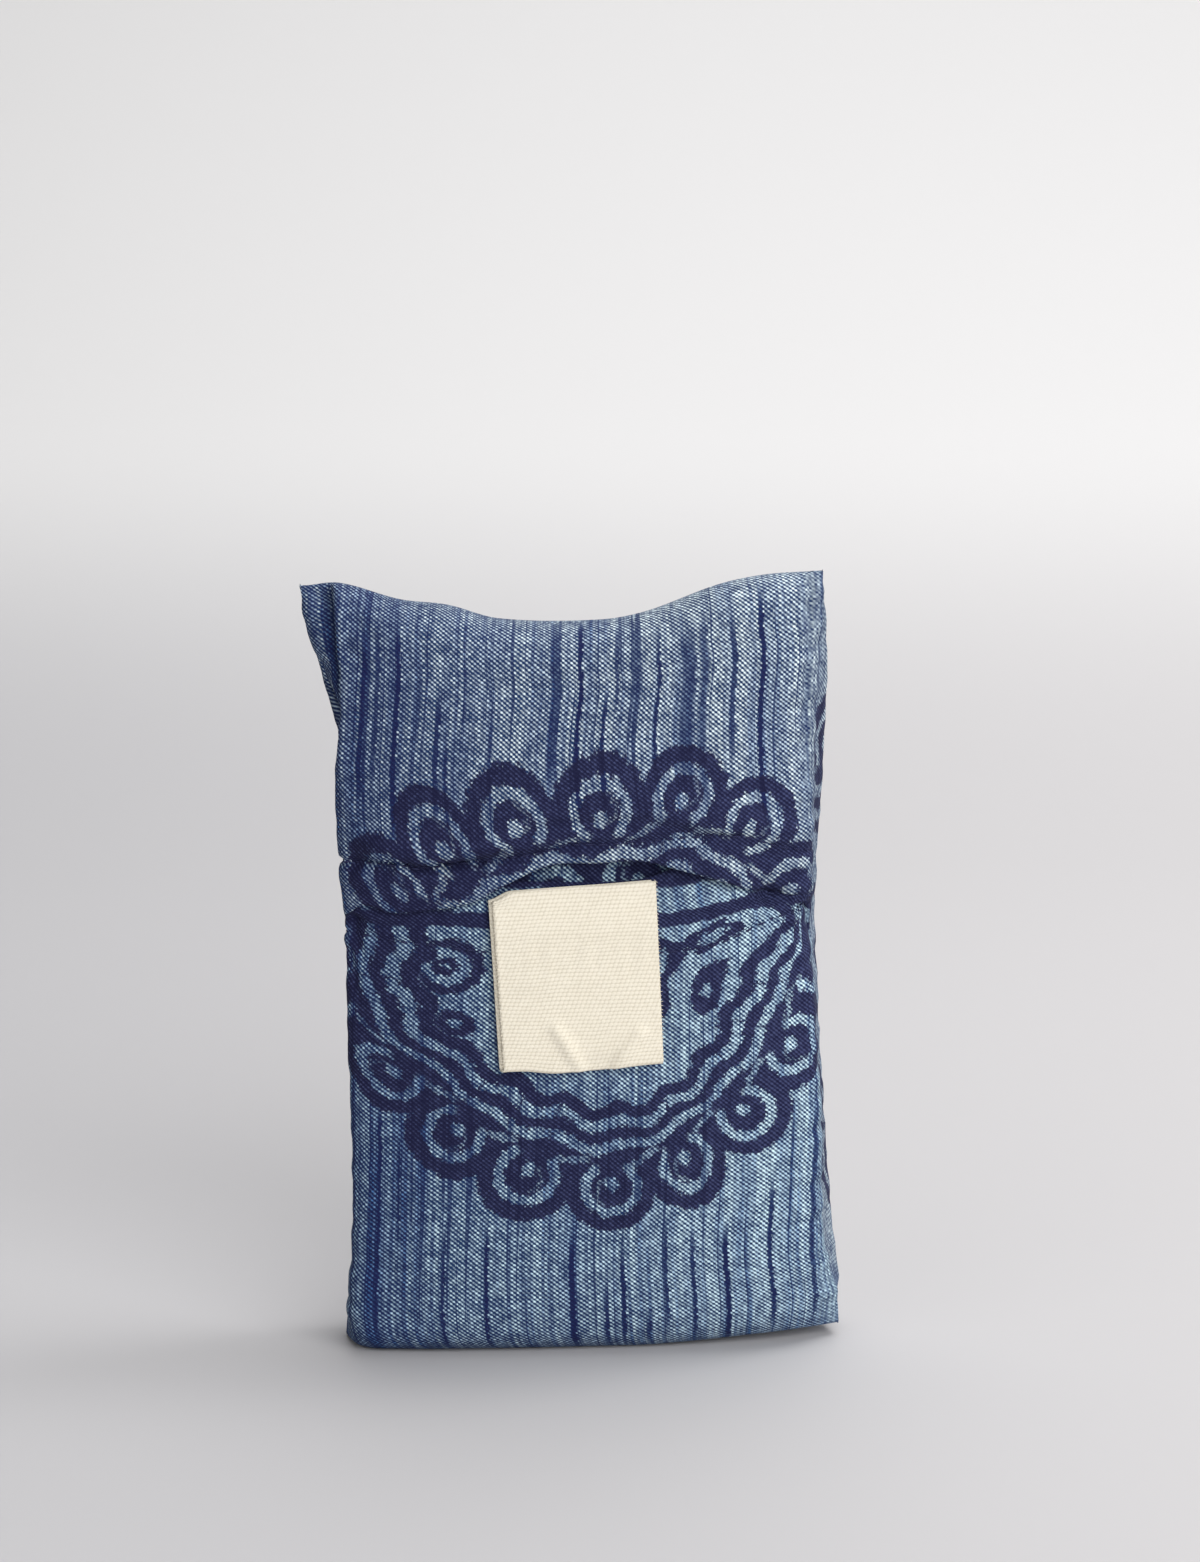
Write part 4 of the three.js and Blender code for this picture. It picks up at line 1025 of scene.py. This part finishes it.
label_y = face_depth(label_x, np.minimum(label_z, LABEL_HANG)) - LABEL_STANDOFF - LABEL_LIFT * way**2 - off
folds = sum(trough(label_x, label_z, *row, fade=0.0) for row in LABEL_FOLDS)
label_y = label_y + folds * smooth(way, 0.5, 0.8)
label_x = label_x + LABEL_BACK_SHIFT * (front_middle - off) / (front_middle - rear_middle)
label_z = label_z - drop - notch + wavy_foot
label_steps = [np.diff(place, axis=0).mean(1) for place in (label_x, label_y, label_z)]
label_v = np.concatenate([[0], np.cumsum(np.linalg.norm(label_steps, axis=0))])[:, None]
label_maps = {"cloth": (aside * LABEL_WIDTH + 0 * label_v, label_v + 0 * aside)}
label_normal = turned_out(label_x, label_y, label_z, -1)
label_face = np.stack([label_x, label_y, label_z], -1) + label_normal * LABEL_CLOTH / 2
label_thick = np.full(label_x.shape, LABEL_CLOTH)
label = cloth_mesh("label_tape", *np.moveaxis(label_face, -1, 0), label_maps, label_thick, label_normal, -1)


def ribbed_tape(name):
    """Cream cotton tape: rows of small raised knots of thread, each row set a little to the side."""
    material = finish(name)
    u, v = places(material, "cloth")
    stir = u.stray(v, 0.08, 0.8, 1.0)
    rib = (v + stir - u * 0.03) / KNOT_ROW
    row = rib.math("FLOOR")
    chance = row.chance((u / KNOT_PITCH + row * 0.38).math("FLOOR")) - 0.5
    rise = abs((rib * math.pi).math("SINE"))
    dash = abs(((u / KNOT_PITCH + rib * 0.3 + row * 0.08) * math.pi).math("SINE"))
    knot = rise * 0.55 + dash * 0.45 + chance * 0.2
    relief = knot + u.cloud(v, 2.5, 3.0) * 0.25
    patch = u.cloud(v, 0.12, 3.0) * 0.6 + u.cloud(v * 4, 0.9, 2.0) * 0.4
    light = patch.tint(dye(235, 228, 212), dye(229, 221, 203))
    colour = knot.step(0.15, 0.85).tint(dye(214, 205, 185), light)
    matt_surface(material, colour, 0.85, relief, 0.00014)
    return material


label.data.materials.append(ribbed_tape("cream_tape"))
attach(label, "root")
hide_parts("label")

cream_thread = plied_thread("cream_thread", dye(246, 238, 222), dye(226, 215, 194))
for side_name, column, outward in (("left", 0, -1), ("right", -1, 1)):
    edge = label_face[:LABEL_ROWS, column]
    fray_sizes = {**FRAY_SIZES, "Aside": (outward, -0.2, 0)}
    fray = threads_along(f"label_fray_{side_name}", [edge], cream_thread, fray_sizes)
    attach(fray, "root")

# The studio
# A pale seamless paper sweep under and behind the pouch, with painted shade that makes it greyer on the
# floor and to the left. The main soft light stands in front on the right, with weaker ones overhead, on the
# left and on the wall.
SWEEP_SIDE, SWEEP_FRONT, SWEEP_TOP = 1.6, -1.6, 2.4
SWEEP_START, SWEEP_RADIUS = 0.55, 1.4
profile = [(SWEEP_FRONT, 0.0), (SWEEP_START, 0.0)]
profile += [(SWEEP_START + SWEEP_RADIUS * math.sin(a), SWEEP_RADIUS * (1 - math.cos(a)))
            for a in np.linspace(0, math.pi / 2, 32)[1:]]
profile += [(SWEEP_START + SWEEP_RADIUS, SWEEP_TOP)]
corners = [(side, depth, rise) for depth, rise in profile for side in (-SWEEP_SIDE, SWEEP_SIDE)]
sheets = [(2 * k, 2 * k + 1, 2 * k + 3, 2 * k + 2) for k in range(len(profile) - 1)]
sweep_mesh = bpy.data.meshes.new("sweep")
sweep_mesh.from_pydata(corners, [], sheets)
sweep_mesh.shade_smooth()
sweep = bpy.data.objects.new("sweep", sweep_mesh)
bpy.context.scene.collection.objects.link(sweep)
paper = bpy.data.materials.new("pale_paper")
paper.use_nodes = True
paper_surface = paper.node_tree.nodes["Principled BSDF"]
paper_place = Yarn(paper.node_tree).node("ShaderNodeTexCoord", None, None, "Object")
paper_x = paper_place.node("ShaderNodeSeparateXYZ", None, {0: paper_place})
paper_z = Yarn(paper.node_tree, paper_x.socket.node.outputs[2])
# Painted shade: the paper darker on the floor than on the wall, and darker towards the left.
painted_floor_shade = paper_x.step(-0.3, 0.3).tint(dye(186, 185, 187), dye(194, 192, 193))
paper_with_painted_shade = paper_z.step(0.0, 0.095).tint(painted_floor_shade, dye(217, 216, 216))
paper.node_tree.links.new(paper_with_painted_shade.socket, paper_surface.inputs["Base Color"])
paper_surface.inputs["Roughness"].default_value = 0.75
paper_surface.inputs["Specular IOR Level"].default_value = 0.2
sweep_mesh.materials.append(paper)


def soft_light(name, place, aim, size, power):
    light = bpy.data.lights.new(name, "AREA")
    light.shape, light.size, light.size_y = "RECTANGLE", *size
    light.energy = power
    lamp = bpy.data.objects.new(name, light)
    bpy.context.scene.collection.objects.link(lamp)
    lamp.location = place
    away = np.array(place) - np.array(aim)
    lamp.rotation_euler = (
        math.atan2(math.hypot(away[0], away[1]), away[2]), 0, math.atan2(away[0], -away[1])
    )


soft_light("key", (0.9, -1.75, 1.0), (0, 0, 0.1), (1.8, 1.8), 46)
soft_light("overhead", (0.3, 0.4, 1.3), (0.05, 0.05, 0), (1.6, 1.2), 14)
soft_light("fill", (-1.2, -1.2, 0.8), (0, 0, 0.1), (1.4, 1.4), 4)
soft_light("wall", (1.0, 0.3, 1.6), (0.2, 1.3, 0.4), (0.8, 0.8), 12)
world = bpy.data.worlds.new("studio")
bpy.context.scene.world = world
world.use_nodes = True
world.node_tree.nodes["Background"].inputs["Color"].default_value = (0.99, 0.99, 1.0, 1)
world.node_tree.nodes["Background"].inputs["Strength"].default_value = 0.16
bpy.context.scene.view_settings.view_transform = "Standard"
